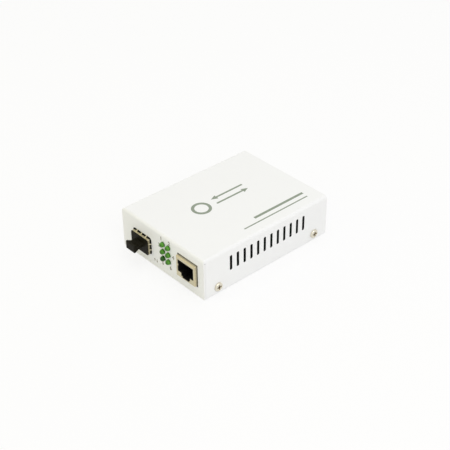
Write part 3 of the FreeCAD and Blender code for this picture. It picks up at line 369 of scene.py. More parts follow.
@dataclass(frozen=True)
class SheetMetal(Finish):
    """Rolled or plated metal with fine drawn lines and dull patches.

    The plating may be yellower along bends from one corner, with painted shade behind a point in a band.
    """

    slot: Slot = Slot.TINNED_SHEET
    grain: Point = (1, 1, 1)
    line: float = 0.12 * MM
    line_depth: float = 0.002 * MM
    patch: float = 2.5 * MM
    dull: float = 0.35
    bend: Point | None = None
    bend_reach: float = 0.36 * MM
    bend_colour: Colour = (0.6, 0.46, 0.21, 1.0)
    # painted shade in the gap round the port: where it starts, its half sizes and its near-black colour
    dull_from: Point | None = None
    dull_half: tuple[float, float] = (0, 0)
    dulled: Colour = (0.016, 0.014, 0.01, 1.0)

    def _yellowed(self, graph: ShaderGraph, plain: Wire) -> Wire:
        """The plating's colour with the yellower lines along its upper and right front bends.

        Args:
            graph: The material's nodes.
            plain: The plating's colour before.

        Returns:
            The colour's wire.
        """
        across, along, up = graph.axes(graph.place(self.bend))
        depth = along * along
        upper, right = ((depth + off * off).root() / self.bend_reach for off in (up, across))
        line = graph.clamped(1 - upper) * 0.8 + graph.clamped(1 - right) * 0.5
        return graph.blend(line, plain, self.bend_colour)

    def _shaded(self, graph: ShaderGraph, plain: Wire) -> Wire:
        """Plating colour with painted shade in the gap round the port, not on the fingers that cross it.

        Args:
            graph: The material's nodes.
            plain: The plating's colour before.

        Returns:
            The colour's wire.
        """
        point = graph.place(self.dull_from)
        _, along, _ = graph.axes(point)
        across, _, up = graph.axes(graph.vector("ABSOLUTE", point))
        # painted shade: near black behind the start point, inside the band round the cage
        gap = (along > 0.0) * (across < self.dull_half[0]) * (up < self.dull_half[1])
        return graph.blend(gap, plain, self.dulled)

    def paint(self, graph: ShaderGraph) -> None:
        """Adds drawn lines, patches of tarnish and their gloss.

        Args:
            graph: The material's nodes.
        """
        lines = graph.noise(self.line, 2.0, self.grain)
        patches = graph.noise(self.patch, 3.0)
        worn = graph.blend(patches, shade(self.colour, 1 - self.dull / 2), self.colour)
        surface = graph.blend(lines * 0.35, worn, shade(self.colour, 0.8))
        if self.bend:
            surface = self._yellowed(graph, surface)
        if self.dull_from:
            surface = self._shaded(graph, surface)
        graph.feed(base_color=surface)
        graph.feed(roughness=lines * 0.14 + patches * 0.12 + (self.roughness - 0.12))
        graph.feed(normal=graph.bump(lines, self.line_depth, 0.5))


@dataclass(frozen=True)
class TurnedMetal(Finish):
    """Turned and plated metal with a fine cloudy skin, and painted shade in its recesses where it says so."""

    slot: Slot = Slot.PLATED_PIN
    cloud: float = 0.5 * MM
    scratch: float = 0.05 * MM
    scratch_depth: float = 0.001 * MM
    recess: Colour | None = None

    def paint(self, graph: ShaderGraph) -> None:
        """Adds clouds in the plating, fine scratches and the painted shade in a recess.

        Args:
            graph: The material's nodes.
        """
        clouds = graph.noise(self.cloud, 4.0)
        scratches = graph.noise(self.scratch, 1.0, (1, 1, 6))
        plating = graph.blend(clouds, shade(self.colour, 0.82), self.colour)
        # painted shade: the faces marked hollow take the darker recess colour
        if self.recess:
            hollow = graph.node("ShaderNodeAttribute", output="Fac", attribute_name=HOLLOW)
            plating = graph.blend(hollow, plating, self.recess)
        graph.feed(base_color=plating)
        graph.feed(roughness=clouds * 0.16 + scratches * 0.06 + (self.roughness - 0.1))
        graph.feed(normal=graph.bump(scratches, self.scratch_depth, 0.4))


@dataclass(frozen=True)
class Moulding(Finish):
    """Moulded plastic or rubber with a fine eroded texture and a few paler rubs."""

    slot: Slot = Slot.BLACK_MOULDING
    texture: float = 0.16 * MM
    texture_depth: float = 0.006 * MM
    rub_size: float = 3.0 * MM
    rubs: float = 0.25

    def paint(self, graph: ShaderGraph) -> None:
        """Adds the mould's texture, its gloss and paler rubbed places.

        Args:
            graph: The material's nodes.
        """
        eroded = graph.noise(self.texture)
        rubbed = graph.noise(self.rub_size, 4.0) ** 2.0
        paler = shade(self.colour, 1 + 4 * self.rubs)
        graph.feed(base_color=graph.blend(rubbed * self.rubs * 4, self.colour, paler))
        graph.feed(roughness=eroded * 0.14 + rubbed * 0.1 + (self.roughness - 0.1))
        graph.feed(normal=graph.bump(eroded, self.texture_depth, 0.7))


@dataclass(frozen=True)
class Laminate(Finish):
    """Circuit board: solder mask over copper tracks, with bare pads."""

    slot: Slot = Slot.BOARD_LAMINATE
    copper: Colour = (0.06, 0.2, 0.07, 1.0)
    pad: Colour = (0.62, 0.6, 0.52, 1.0)
    region_size: float = 9 * MM
    pad_pitch: float = 2.2 * MM
    track_pitch: float = 1.1 * MM
    relief: float = 0.03 * MM

    def paint(self, graph: ShaderGraph) -> None:
        """Adds tracks that run one way or the other from region to region, and tinned pads.

        Args:
            graph: The material's nodes.
        """
        across, along, _ = graph.axes(graph.place())
        sideways, _, share = graph.axes(graph.cells(self.region_size, "CHEBYCHEV", "Color"))
        turned = sideways > 0.5
        run = across * turned + along * (1 - turned)
        tracks = ((run / self.track_pitch).fraction() < 0.42) * (share > 0.35)
        pads = (graph.cells(self.pad_pitch) < 0.22) * (share < 0.55)
        masked = graph.blend(tracks, self.colour, self.copper)
        graph.feed(base_color=graph.blend(pads, masked, self.pad))
        graph.feed(roughness=graph.noise(1.0 * MM) * 0.1 + pads * 0.15 + (self.roughness - 0.05))
        graph.feed(normal=graph.bump(tracks * 0.7 + pads * 0.3, self.relief, 0.5))


@dataclass(frozen=True)
class Lens(Finish):
    """Tinted epoxy of one round lamp: painted highlight round its middle, painted shade at tip and root."""

    slot: Slot = Slot.GREEN_LENS
    tip: float = 0.0
    root: float = 1.0
    pale_share: float = 0.85
    cloud: float = 0.5 * MM
    deep: Colour = (0.01, 0.04, 0.01, 1.0)

    def paint(self, graph: ShaderGraph) -> None:
        """Adds painted shade at both ends, a painted highlight between, and a slight cloudiness.

        Args:
            graph: The material's nodes.
        """
        _, along, _ = graph.axes(graph.place())
        reach = self.pale_share * (self.root - self.tip) / 2
        ends = graph.clamped(((along - (self.root + self.tip) / 2) / reach) ** 2.0)
        cloud = graph.noise(self.cloud)
        # painted highlight and shade: the tint deepens away from the middle of the lamp's length
        graph.feed(base_color=graph.blend(ends * 0.72 + cloud * 0.15, self.colour, self.deep))
        graph.feed(roughness=cloud * 0.1 + (self.roughness - 0.05))


@dataclass(frozen=True)
class Ink(Finish):
    """Pad-printed ink that lets a little of the coat show through."""

    pinhole: float = 0.12 * MM
    streak: float = 1.5 * MM
    ground: Colour = (0.9, 0.9, 0.88, 1.0)

    def paint(self, graph: ShaderGraph) -> None:
        """Adds pinholes and an uneven film.

        Args:
            graph: The material's nodes.
        """
        pinholes = graph.noise(self.pinhole, 1.0) > 0.7
        film = graph.noise(self.streak) * 0.16
        graph.feed(base_color=graph.blend(pinholes * 0.25 + film, self.colour, self.ground))
        graph.feed(roughness=film + self.roughness)


COAT_WHITE = (0.886, 0.894, 0.902, 1.0)
TIN_COLOUR = tint(214, 205, 175)
# recess: the painted shade colour of the screws' cross recess
SCREW = {"slot": Slot.NICKEL_SCREW, "recess": tint(122, 104, 72)}
NICKEL = TurnedMetal("finish_nickel", tint(232, 226, 208), 0.28, 1.0, **SCREW)
PIN_PLATE = TurnedMetal("finish_pin_plate", tint(214, 208, 194), 0.24, 1.0)
GOLD = TurnedMetal("finish_gold", tint(226, 178, 92), 0.24, 1.0, slot=Slot.GOLD_CONTACT)
BOARD_GREEN = Laminate("finish_board", tint(20, 78, 42), 0.36, coat_weight=0.3)
BLACK = Moulding("finish_black_moulding", tint(20, 20, 18), 0.5, specular=0.2, rubs=0.12)
SOFT = {"slot": Slot.PLUG_RUBBER, "specular": 0.08, "texture": 0.22 * MM, "rubs": 0.16}
RUBBER = Moulding("finish_plug_rubber", tint(25, 23, 15), 0.55, **SOFT)
EPOXY = {"slot": Slot.DARK_CASE, "texture": 0.09 * MM, "rubs": 0.1}
CHIP_CASE = Moulding("finish_dark_case", tint(38, 38, 40), 0.56, **EPOXY)
CAN = SheetMetal("finish_can", tint(206, 208, 210), 0.3, 1.0, slot=Slot.CAN_METAL, grain=(1, 1, 12))
WIRE = SheetMetal("finish_wire", tint(216, 214, 206), 0.28, 1.0, slot=Slot.TINNED_WIRE, grain=(6, 6, 6))
INK_GREEN = Ink("finish_ink_green", tint(124, 137, 118), 0.5)
INK_BROWN = Ink("finish_ink_brown", tint(122, 117, 100), 0.5)
LAMP_GREEN = tint(88, 156, 48)
LAMP_DARK = tint(52, 104, 35)


# Meshes


def new_object(name: str, data: bpy.types.ID) -> Piece:
    """Puts a mesh, a curve, a light or a camera in the scene under a name.

    Args:
        name: The object's name.
        data: What it shows.

    Returns:
        The object.
    """
    made = bpy.data.objects.new(name, data)
    bpy.context.scene.collection.objects.link(made)
    return made


def piece_of(name: str, shape: bmesh.types.BMesh) -> Piece:
    """Turns a shape into a piece.

    Args:
        name: The new piece's name.
        shape: Its shape, which can't be used after.

    Returns:
        The new piece.
    """
    mesh = bpy.data.meshes.new(name)
    shape.to_mesh(mesh)
    shape.free()
    return new_object(name, mesh)


def evaluated(piece: Piece) -> bpy.types.Mesh:
    """Copies the mesh that a piece shows once its modifiers have run.

    Args:
        piece: The piece, which stays as it is.

    Returns:
        A new mesh.
    """
    bpy.context.view_layer.update()
    graph = bpy.context.evaluated_depsgraph_get()
    return bpy.data.meshes.new_from_object(piece.evaluated_get(graph), depsgraph=graph)


def settled(piece: Piece) -> Piece:
    """Replaces a piece's mesh by the result of its modifiers and removes them.

    Args:
        piece: The piece to settle.

    Returns:
        The same piece.
    """
    mesh = evaluated(piece)
    piece.modifiers.clear()
    piece.data = mesh
    return piece


def smooth(piece: Piece, crease: float = 28.0) -> Piece:
    """Shades a piece smooth up to an angle, with the larger faces kept flat.

    Args:
        piece: The piece, whose modifiers are settled.
        crease: The angle in degrees from which an edge stays sharp.

    Returns:
        The piece.
    """
    mesh = piece.data
    mesh.polygons.foreach_set("use_smooth", [True] * len(mesh.polygons))
    mesh.set_sharp_from_angle(angle=math.radians(crease))
    weighted = piece.modifiers.new("weighted", "WEIGHTED_NORMAL")
    weighted.keep_sharp = True
    weighted.weight = 60
    return settled(piece)


def cleaned(piece: Piece, flat: bool = False) -> Piece:
    """Takes the faces without an area out of a piece.

    Args:
        piece: The piece.
        flat: Whether faces in one plane become one face.

    Returns:
        The same piece.
    """
    shape = bmesh.new()
    shape.from_mesh(piece.data)
    bmesh.ops.remove_doubles(shape, verts=shape.verts, dist=SPECK)
    bmesh.ops.dissolve_degenerate(shape, edges=shape.edges, dist=SPECK)
    if flat:
        bmesh.ops.dissolve_limit(shape, angle_limit=math.radians(0.1), verts=shape.verts, edges=shape.edges)
    shape.to_mesh(piece.data)
    shape.free()
    return piece


def skinned(
    name: str,
    rings: Sequence[Sequence[Point]],
    at: Sequence[float] = (0, 0, 0),
    facing: Facing = Facing.UP,
    looped: bool = False,
) -> Piece:
    """Stretches a closed skin over rings of points.

    Args:
        name: The new piece's name.
        rings: Rings of points from one end to the other, all of one length or a single point at a pole.
        at: Where the points' origin lies.
        facing: The way their third axis points.
        looped: Whether the last ring joins the first; otherwise a flat face closes each open end.

    Returns:
        The new piece, closed all round.
    """
    shape = bmesh.new()
    rows = [[shape.verts.new(point) for point in ring] for ring in rings]
    if looped:
        rows.append(rows[0])
    else:
        for end in (rows[0], rows[-1]):
            if len(end) > 1:
                shape.faces.new(end)
    for low, high in zip(rows, rows[1:]):
        for number in range(max(len(low), len(high))):
            places = ((low, number), (low, number + 1), (high, number + 1), (high, number))
            corners = list(dict.fromkeys(row[place % len(row)] for row, place in places))
            if len(corners) > 2:
                shape.faces.new(corners)
    bmesh.ops.transform(shape, matrix=Matrix.Translation(at) @ facing.value, verts=shape.verts)
    bmesh.ops.recalc_face_normals(shape, faces=shape.faces)
    return piece_of(name, shape)


def turned(profile: Outline, sides: int = 48) -> list[list[Point]]:
    """Rings of points for a skin round the Z axis.

    Args:
        profile: Pairs of radius and height.
        sides: How many faces go round.

    Returns:
        A ring for each pair, or a single point at a pole.
    """
    rings = []
    for radius, height in profile:
        count = sides if radius > SPECK else 1
        turns = [2 * math.pi * number / count for number in range(count)]
        rings.append([(radius * math.cos(turn), radius * math.sin(turn), height) for turn in turns])
    return rings


def rounded(radius: float, height: float, size: float, steps: int) -> Outline:
    """A quarter circle of a size round a centre in a profile, from straight outwards to the top."""
    turns = [math.radians(90 * step / steps) for step in range(steps + 1)]
    return [(max(0.0, radius + size * math.cos(turn)), height + size * math.sin(turn)) for turn in turns]


def joined(name: str, pieces: Sequence[Piece]) -> Piece:
    """Makes one piece of several, which are removed.

    Args:
        name: The new piece's name.
        pieces: What it is made of.

    Returns:
        The new piece.
    """
    shape = bmesh.new()
    for each in pieces:
        shape.from_mesh(each.data)
        bpy.data.objects.remove(each)
    return piece_of(name, shape)


def plate(name: str, outlines: Sequence[Outline], at: Point, facing: Facing, film: float) -> Piece:
    """Flat shapes of a thin film on a face, each from a closed outline whose origin lies at a point."""
    stacks = [[[(*point, height) for point in outline] for height in (0, film)] for outline in outlines]
    return joined(name, [skinned(name, stack, at, facing) for stack in stacks])


def middle(node: str) -> Vector:
    """The middle of a node's box."""
    low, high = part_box(node)
    return (low + high) / 2


def half_size(node: str) -> Vector:
    """Half of each side of a node's box."""
    low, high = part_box(node)
    return (high - low) / 2


def seat(piece: Piece, finish: Finish, *stands_for: str, body: Body = Body.CONVERTER) -> None:
    """Gives a piece one finish all over and hands it over to the frame.

    Args:
        piece: The piece.
        finish: Its finish.
        *stands_for: The nodes that it replaces.
        body: The body that carries it.
    """
    piece.data.materials.clear()
    piece.data.materials.append(finish.material())
    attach(piece, body.value)
    if stands_for:
        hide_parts(*stands_for)
    LOG.info("%s: %d faces on %s", piece.name, len(piece.data.polygons), body.value)


def refit(
    node: str, name: str, finish: Finish, edge: float = EDGE, steps: int = 2, angle: float = 38, **ride: Body
) -> None:
    """Puts a copy of a node's solid, with its corners rounded as real ones are, in the node's place.

    Args:
        node: The node's name.
        name: The new piece's name.
        finish: The new piece's finish.
        edge: The width of the rounded edge in metres.
        steps: How many faces go round an edge.
        angle: The angle in degrees from which an edge is rounded.
        **ride: The body for `seat`.
    """
    shape = bmesh.new()
    shape.from_mesh(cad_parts[node].data)
    bmesh.ops.remove_doubles(shape, verts=shape.verts, dist=WELD)
    parts = {"verts": shape.verts, "edges": shape.edges}
    bmesh.ops.dissolve_limit(shape, angle_limit=FLAT, use_dissolve_boundaries=False, **parts)
    piece = piece_of(name, shape)
    for attribute in [each for each in piece.data.attributes if each.name == "custom_normal"]:
        piece.data.attributes.remove(attribute)
    bevel = piece.modifiers.new("edges", "BEVEL")
    bevel.width = edge
    bevel.segments = steps
    bevel.limit_method = "ANGLE"
    bevel.angle_limit = math.radians(angle)
    bevel.use_clamp_overlap = True
    seat(smooth(settled(piece)), finish, node, **ride)


# Geometry Nodes

ROW = {"Start": "Vector", "Step": "Vector", "Count": "Int", "Turn": "Vector"}


class GrowthTree(NodeGraph):
    """A Geometry Nodes tree with named inputs, which ends in Realize Instances and Set Material."""

    def __init__(self, name: str, inputs: dict[str, str]) -> None:
        """Makes the tree.

        Args:
            name: The tree's name.
            inputs: Each input's kind by its name; those of the row and Finish are added.
        """
        super().__init__(bpy.data.node_groups.new(name, "GeometryNodeTree"))
        face = self.tree.interface
        kinds = {**inputs, **ROW, "Finish": "Material"}
        self.identifiers = {
            label: face.new_socket(label, in_out="INPUT", socket_type="NodeSocket" + kind).identifier
            for label, kind in kinds.items()
        }
        face.new_socket("Geometry", in_out="OUTPUT", socket_type="NodeSocketGeometry")
        self.start = self.add("NodeGroupInput")

    def __getitem__(self, label: str) -> Wire:
        """The tree's input of that name."""
        return Wire(self, self.start.outputs[label])

    def row(self, shape: Wire, start: Wire, turn: Wire) -> Wire:
        """Sets copies of a shape in a row from a place, each with one turn, by the inputs Step and Count.

        Args:
            shape: The shape to copy.
            start: The first copy's place.
            turn: The turn of every copy.

        Returns:
            The row's wire.
        """
        values = {"Count": self["Count"], "Start Location": start, "Offset": self["Step"]}
        line = self.node("GeometryNodeMeshLine", values, mode="OFFSET")
        rotation = self.node("FunctionNodeEulerToRotation", {0: turn})
        copies = {"Points": line, "Instance": shape, "Rotation": rotation}
        return self.node("GeometryNodeInstanceOnPoints", copies)

    def end(self, geometry: Wire) -> None:
        """Closes the tree over its last geometry.

        Args:
            geometry: The last geometry.
        """
        real = self.node("GeometryNodeRealizeInstances", {0: geometry})
        dressed = self.node("GeometryNodeSetMaterial", {"Geometry": real, "Material": self["Finish"]})
        self.add("NodeGroupOutput", {0: dressed})

    def grow(self, name: str, finish: Finish, **values: object) -> Piece:
        """Runs the tree.

        Args:
            name: The new piece's name.
            finish: Its finish.
            **values: The tree's inputs, by name.

        Returns:
            The piece as a plain mesh.
        """
        piece = new_object(name, bpy.data.meshes.new(name))
        modifier = piece.modifiers.new(self.tree.name, "NODES")
        modifier.node_group = self.tree
        modifier[self.identifiers["Finish"]] = finish.material()
        for label, value in values.items():
            modifier[self.identifiers[label]] = value
        return settled(piece)


def mirrored_row_tree() -> GrowthTree:
    """A tree that sets copies of an object in a row, and again on the other side of the YZ plane.

    Returns:
        The tree.
    """
    tree = GrowthTree("mirrored_row", {"Original": "Object"})
    shape = tree.node("GeometryNodeObjectInfo", {"Object": tree["Original"]}, output="Geometry")
    sides = []
    for sign in (1, -1):
        start = tree.node("ShaderNodeVectorMath", {0: tree["Start"], 1: (sign, 1, 1)}, operation="MULTIPLY")
        turn = tree.node("ShaderNodeVectorMath", {0: tree["Turn"], 1: (1, sign, sign)}, operation="MULTIPLY")
        sides.append(tree.row(shape, start, turn))
    tree.end(tree.node("GeometryNodeJoinGeometry", {0: sides}))
    return tree


def bent_wires_tree() -> GrowthTree:
    """A tree that bends a flat or square wire along a path with rounded corners and repeats it in a row.

    Returns:
        The tree.
    """
    inputs = {"Path": "Object", "Bend": "Float", "Width": "Float", "Thickness": "Float"}
    tree = GrowthTree("bent_wires", inputs)
    route = tree.node("GeometryNodeObjectInfo", {"Object": tree["Path"]}, output="Geometry")
    curve = tree.node("GeometryNodeMeshToCurve", {0: route})
    bends = {"Curve": curve, "Radius": tree["Bend"], "Limit Radius": True, "Count": 4}
    filleted = tree.node("GeometryNodeFilletCurve", bends, mode="POLY")
    sides = {"Width": tree["Width"], "Height": tree["Thickness"]}
    section = tree.node("GeometryNodeCurvePrimitiveQuadrilateral", sides, mode="RECTANGLE")
    sweep = {"Curve": filleted, "Profile Curve": section, "Fill Caps": True}
    wire = tree.node("GeometryNodeCurveToMesh", sweep)
    tree.end(tree.row(wire, tree["Start"], tree["Turn"]))
    return tree


# Sub-assemblies


@dataclass
class Enclosure:
    """The lid and the pan that it closes."""

    edge: float = 0.16 * MM
    lid_bend: float = 2.0 * MM
    pan_bend: float = 1.5 * MM

    def build(self) -> None:
        """Builds the lid and the pan, coated outside, with painted shade inside and on the slot walls."""
        halves = (("top_cover", "lid", 3, self.lid_bend), ("base_pan", "pan", 2, self.pan_bend))
        for node, name, steps, bend in halves:
            box = {"box_middle": tuple(middle(node)), "box_half": tuple(half_size(node)), "bend_radius": bend}
            refit(node, name, PowderCoat("finish_" + name, COAT_WHITE, 0.42, **box), self.edge, steps)


@dataclass
class Fasteners:
    """The pan-head screws with a cross recess, and the standoffs that the board's screws turn into."""

    length: float = 4.0 * MM
    screw_radius: float = 1.5 * MM
    tip_chamfer: float = 0.3 * MM
    head_radius: float = 2.65 * MM
    head_height: float = 1.15 * MM
    head_round: float = 0.8 * MM
    brim: float = 0.08 * MM
    crease: float = 30.0
    recess_reach: float = 1.45 * MM
    recess_half: float = 0.36 * MM
    recess_depth: float = 1.0 * MM
    recess_above: float = 0.2 * MM
    recess_flare: float = 1.12
    recess_taper: float = 0.55
    hollow_floor: float = 0.01 * MM
    hollow_skin: float = 0.04 * MM

    def _recess(self) -> Piece:
        """The tapered cross that is cut into the head.

        Returns:
            The cross, as a piece to cut with.
        """
        reach, half = self.recess_reach, self.recess_half
        points = []
        for number in range(4):
            turn = Matrix.Rotation(number * math.pi / 2, 2)
            points += [turn @ Vector(corner) for corner in ((reach, -half), (reach, half), (half, half))]
        top, bottom = self.head_height + self.recess_above, self.head_height - self.recess_depth
        ends = ((self.recess_flare, top), (self.recess_taper, bottom))
        return skinned("recess", [[(*(point * scale), height) for point in points] for scale, height in ends])

    def original(self) -> Piece:
        """One screw, its head above z = 0.

        Returns:
            The screw, as a piece.
        """
        shank, head, top = self.screw_radius, self.head_radius, self.head_height
        profile = [
            (0, -self.length),
            (shank - self.tip_chamfer, -self.length),
            (shank, self.tip_chamfer - self.length),
            (shank, 0),
            (head - self.brim, 0),
            (head, self.brim),
            *rounded(head - self.head_round, top - self.head_round, self.head_round, 7),
            (0, top),
        ]
        screw, recess = skinned("screw", turned(profile)), self._recess()
        cut = screw.modifiers.new("recess", "BOOLEAN")
        cut.operation = "DIFFERENCE"
        cut.object = recess
        cut.solver = "EXACT"
        settled(screw)
        bpy.data.objects.remove(recess)
        smooth(cleaned(screw), self.crease)
        hollow = screw.data.attributes.new(HOLLOW, "FLOAT", "FACE")
        for face in screw.data.polygons:
            across, along, up = face.center
            within = math.hypot(across, along) < self.recess_reach
            hollow.data[face.index].value = float(within and self.hollow_floor < up < top - self.hollow_skin)
        return screw

    def build(self) -> None:
        """Builds the four screws of the case, the four of the board and the standoffs."""
        tree, screw, corner = mirrored_row_tree(), self.original(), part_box("board_screws")[1]
        side = (CAD_BOX[1].x - self.head_height, middle("case_screws").z)
        top = (corner.x - self.head_radius, corner.z - self.head_height)
        for owner, (across, up), turn in (("case", side, math.pi / 2), ("board", top, 0)):
            low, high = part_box(owner + "_screws")
            first = Vector((across, low.y + self.head_radius, up))
            last = Vector((across, high.y - self.head_radius, up))
            row = {"Start": first, "Step": last - first, "Count": 2, "Turn": Vector((0, turn, 0))}
            piece = tree.grow(owner + "_screw_set", NICKEL, Original=screw, **row)
            seat(smooth(piece, self.crease), NICKEL, owner + "_screws")
        bpy.data.objects.remove(screw)
        refit("board_standoffs", "standoff_set", PIN_PLATE)


@dataclass
class OpticalPort:
    """The cage, its spring collar and host connector, and the dust plug that pulls out."""

    sheet_edge: float = 0.05 * MM
    host_edge: float = 0.1 * MM
    plug_edge: float = 0.2 * MM
    lit_from: float = 0.5 * MM
    band: float = 0.3 * MM

    def build(self) -> None:
        """Builds the port and its plug."""
        centre, half = middle("sfp_cage"), half_size("sfp_cage")
        # painted shade: the cage and collar turn near black from just in front of the lid into the gap
        tin = SheetMetal(
            "finish_port_sheet",
            TIN_COLOUR,
            0.4,
            metallic=0.8,
            grain=(1, 14, 1),
            dull_from=(centre.x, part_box("top_cover")[0].y - self.lit_from, centre.z),
            dull_half=(half.x + self.band, half.z + self.band),
        )
        refit("sfp_cage", "port_cage", tin, self.sheet_edge)
        refit("sfp_spring_collar", "port_collar", tin, self.sheet_edge)
        refit("sfp_host_connector", "port_connector", BLACK, self.host_edge)
        refit("dust_plug", "port_plug", RUBBER, self.plug_edge, steps=4, angle=30, body=Body.PLUG)


@dataclass
class NetworkJack:
    """The shielded network jack: shell, housing and eight bent contacts."""

    bend_middle: float = 0.25 * MM
    contact_width: float = 0.5 * MM
    contact_thickness: float = 0.3 * MM
    contact_bend: float = 0.5 * MM
    contact_flat: float = 0.22
    contact_count: int = 8

    def build(self) -> None:
        """Builds the jack."""
        low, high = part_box("jack_shell")
        bend = (high.x - self.bend_middle, low.y + self.bend_middle, high.z - self.bend_middle)
        tin = SheetMetal("finish_socket_sheet", TIN_COLOUR, 0.4, metallic=0.35, grain=(1, 14, 1), bend=bend)
        refit("jack_shell", "socket_shell", tin, steps=3)
        refit("jack_housing", "socket_housing", BLACK)
        low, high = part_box("jack_contacts")
        width, half = self.contact_width, self.contact_thickness / 2
        depth, drop = high.y - low.y, high.z - low.z
        points = [(0, drop - half), (self.contact_flat * depth, drop - half), (depth - half, half)]
        line = bpy.data.meshes.new("contact_path")
        line.from_pydata([(0, *point) for point in points], [(0, 1), (1, 2)], [])
        route = new_object("contact_path", line)
        contacts = bent_wires_tree().grow(
            "socket_contacts",
            GOLD,
            Path=route,
            Bend=self.contact_bend,
            Width=width,
            Thickness=self.contact_thickness,
            Start=Vector((low.x + width / 2, low.y, low.z)),
            Step=Vector(((high.x - low.x - width) / (self.contact_count - 1), 0, 0)),
            Count=self.contact_count,
            Turn=Vector(),
        )
        bpy.data.objects.remove(route)
        seat(smooth(contacts), GOLD, "jack_contacts")


@dataclass
class LampBlock:
    """The six round lamps in their holder, with their leads."""

    radius: float = 1.5 * MM
    rim: float = 0.9 * MM
    rim_edge: float = 0.06 * MM
    lead_edge: float = 0.06 * MM
    crease: float = 32.0
    dark: str = "lamp_low_left"

    def _lamp(self, node: str) -> None:
        """Builds one lamp, with its dome forward and its rim at the back.

        Args:
            node: The lamp's node.
        """
        low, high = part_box(node)
        length, rim_radius, edge = high.y - low.y, (high.x - low.x) / 2, self.rim_edge
        profile = [
            (0, 0),
            (rim_radius - edge, 0),
            (rim_radius, edge),
            (rim_radius, self.rim - edge),
            (rim_radius - edge, self.rim),
            (self.radius, self.rim),
            *rounded(0, length - self.radius, self.radius, 14),
        ]
        centre = middle(node)
        centre.y = high.y
        piece = skinned(node + "_dome", turned(profile, sides=56), centre, Facing.FRONT)
        colour = LAMP_DARK if node == self.dark else LAMP_GREEN
        # the lamp's painted shade colour for its tip and root
        look = {"specular": 0.25, "deep": shade(colour, 0.3)}
        finish = Lens("finish_" + node, colour, 0.34, tip=low.y, root=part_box("top_cover")[0].y, **look)
        seat(smooth(piece, self.crease), finish, node)

    def build(self) -> None:
        """Builds the lamps, the holder and the leads."""
        for row in ("low", "middle", "high"):
            for side in ("left", "right"):
                self._lamp(f"lamp_{row}_{side}")
        refit("lamp_holder", "lamp_block", BLACK)
        refit("lamp_leads", "lamp_lead_set", WIRE, self.lead_edge)


@dataclass
class PowerInlet:
    """The DC inlet: housing, centre pin and sleeve contact."""

    edge: float = 0.15 * MM
    leaf_edge: float = 0.05 * MM

    def build(self) -> None:
        """Builds the inlet."""
        refit("inlet_housing", "inlet_body", BLACK, self.edge)
        refit("inlet_pin", "inlet_centre_pin", PIN_PLATE, self.edge, steps=4, angle=30)
        refit("inlet_spring", "inlet_leaf", PIN_PLATE, self.leaf_edge)


@dataclass
class Board:
    """The circuit board and what stands on it."""

    edge: float = 0.08 * MM
    can_edge: float = 0.15 * MM

    def build(self) -> None:
        """Builds the board and its larger components."""
        refit("circuit_board", "board", BOARD_GREEN, self.edge)
        for node in ("line_transformer", "converter_chip", "power_inductor", "voltage_regulator"):
            refit(node, node + "_case", CHIP_CASE)
        for node in ("crystal_can", "filter_capacitors"):
            refit(node, node + "_shell", CAN, self.can_edge)


def arrow(size: Size, across: float, tail: float, sign: int) -> Outline:
    """An arrow's outline, along the second axis for sign 1 and back for -1.

    Args:
        size: Half the shaft's width, half the head's, the shaft's share of the length, and the length.
        across: Its middle line, on the first axis.
        tail: Where it starts, on the second axis.
        sign: 1 or -1.

    Returns:
        The closed outline.
    """
    shaft, barb, neck, length = size
    points = [(-shaft, 0), (shaft, 0), (shaft, neck), (barb, neck), (0, 1), (-barb, neck), (-shaft, neck)]
    return [(across + sign * x, tail + sign * length * share) for x, share in points]


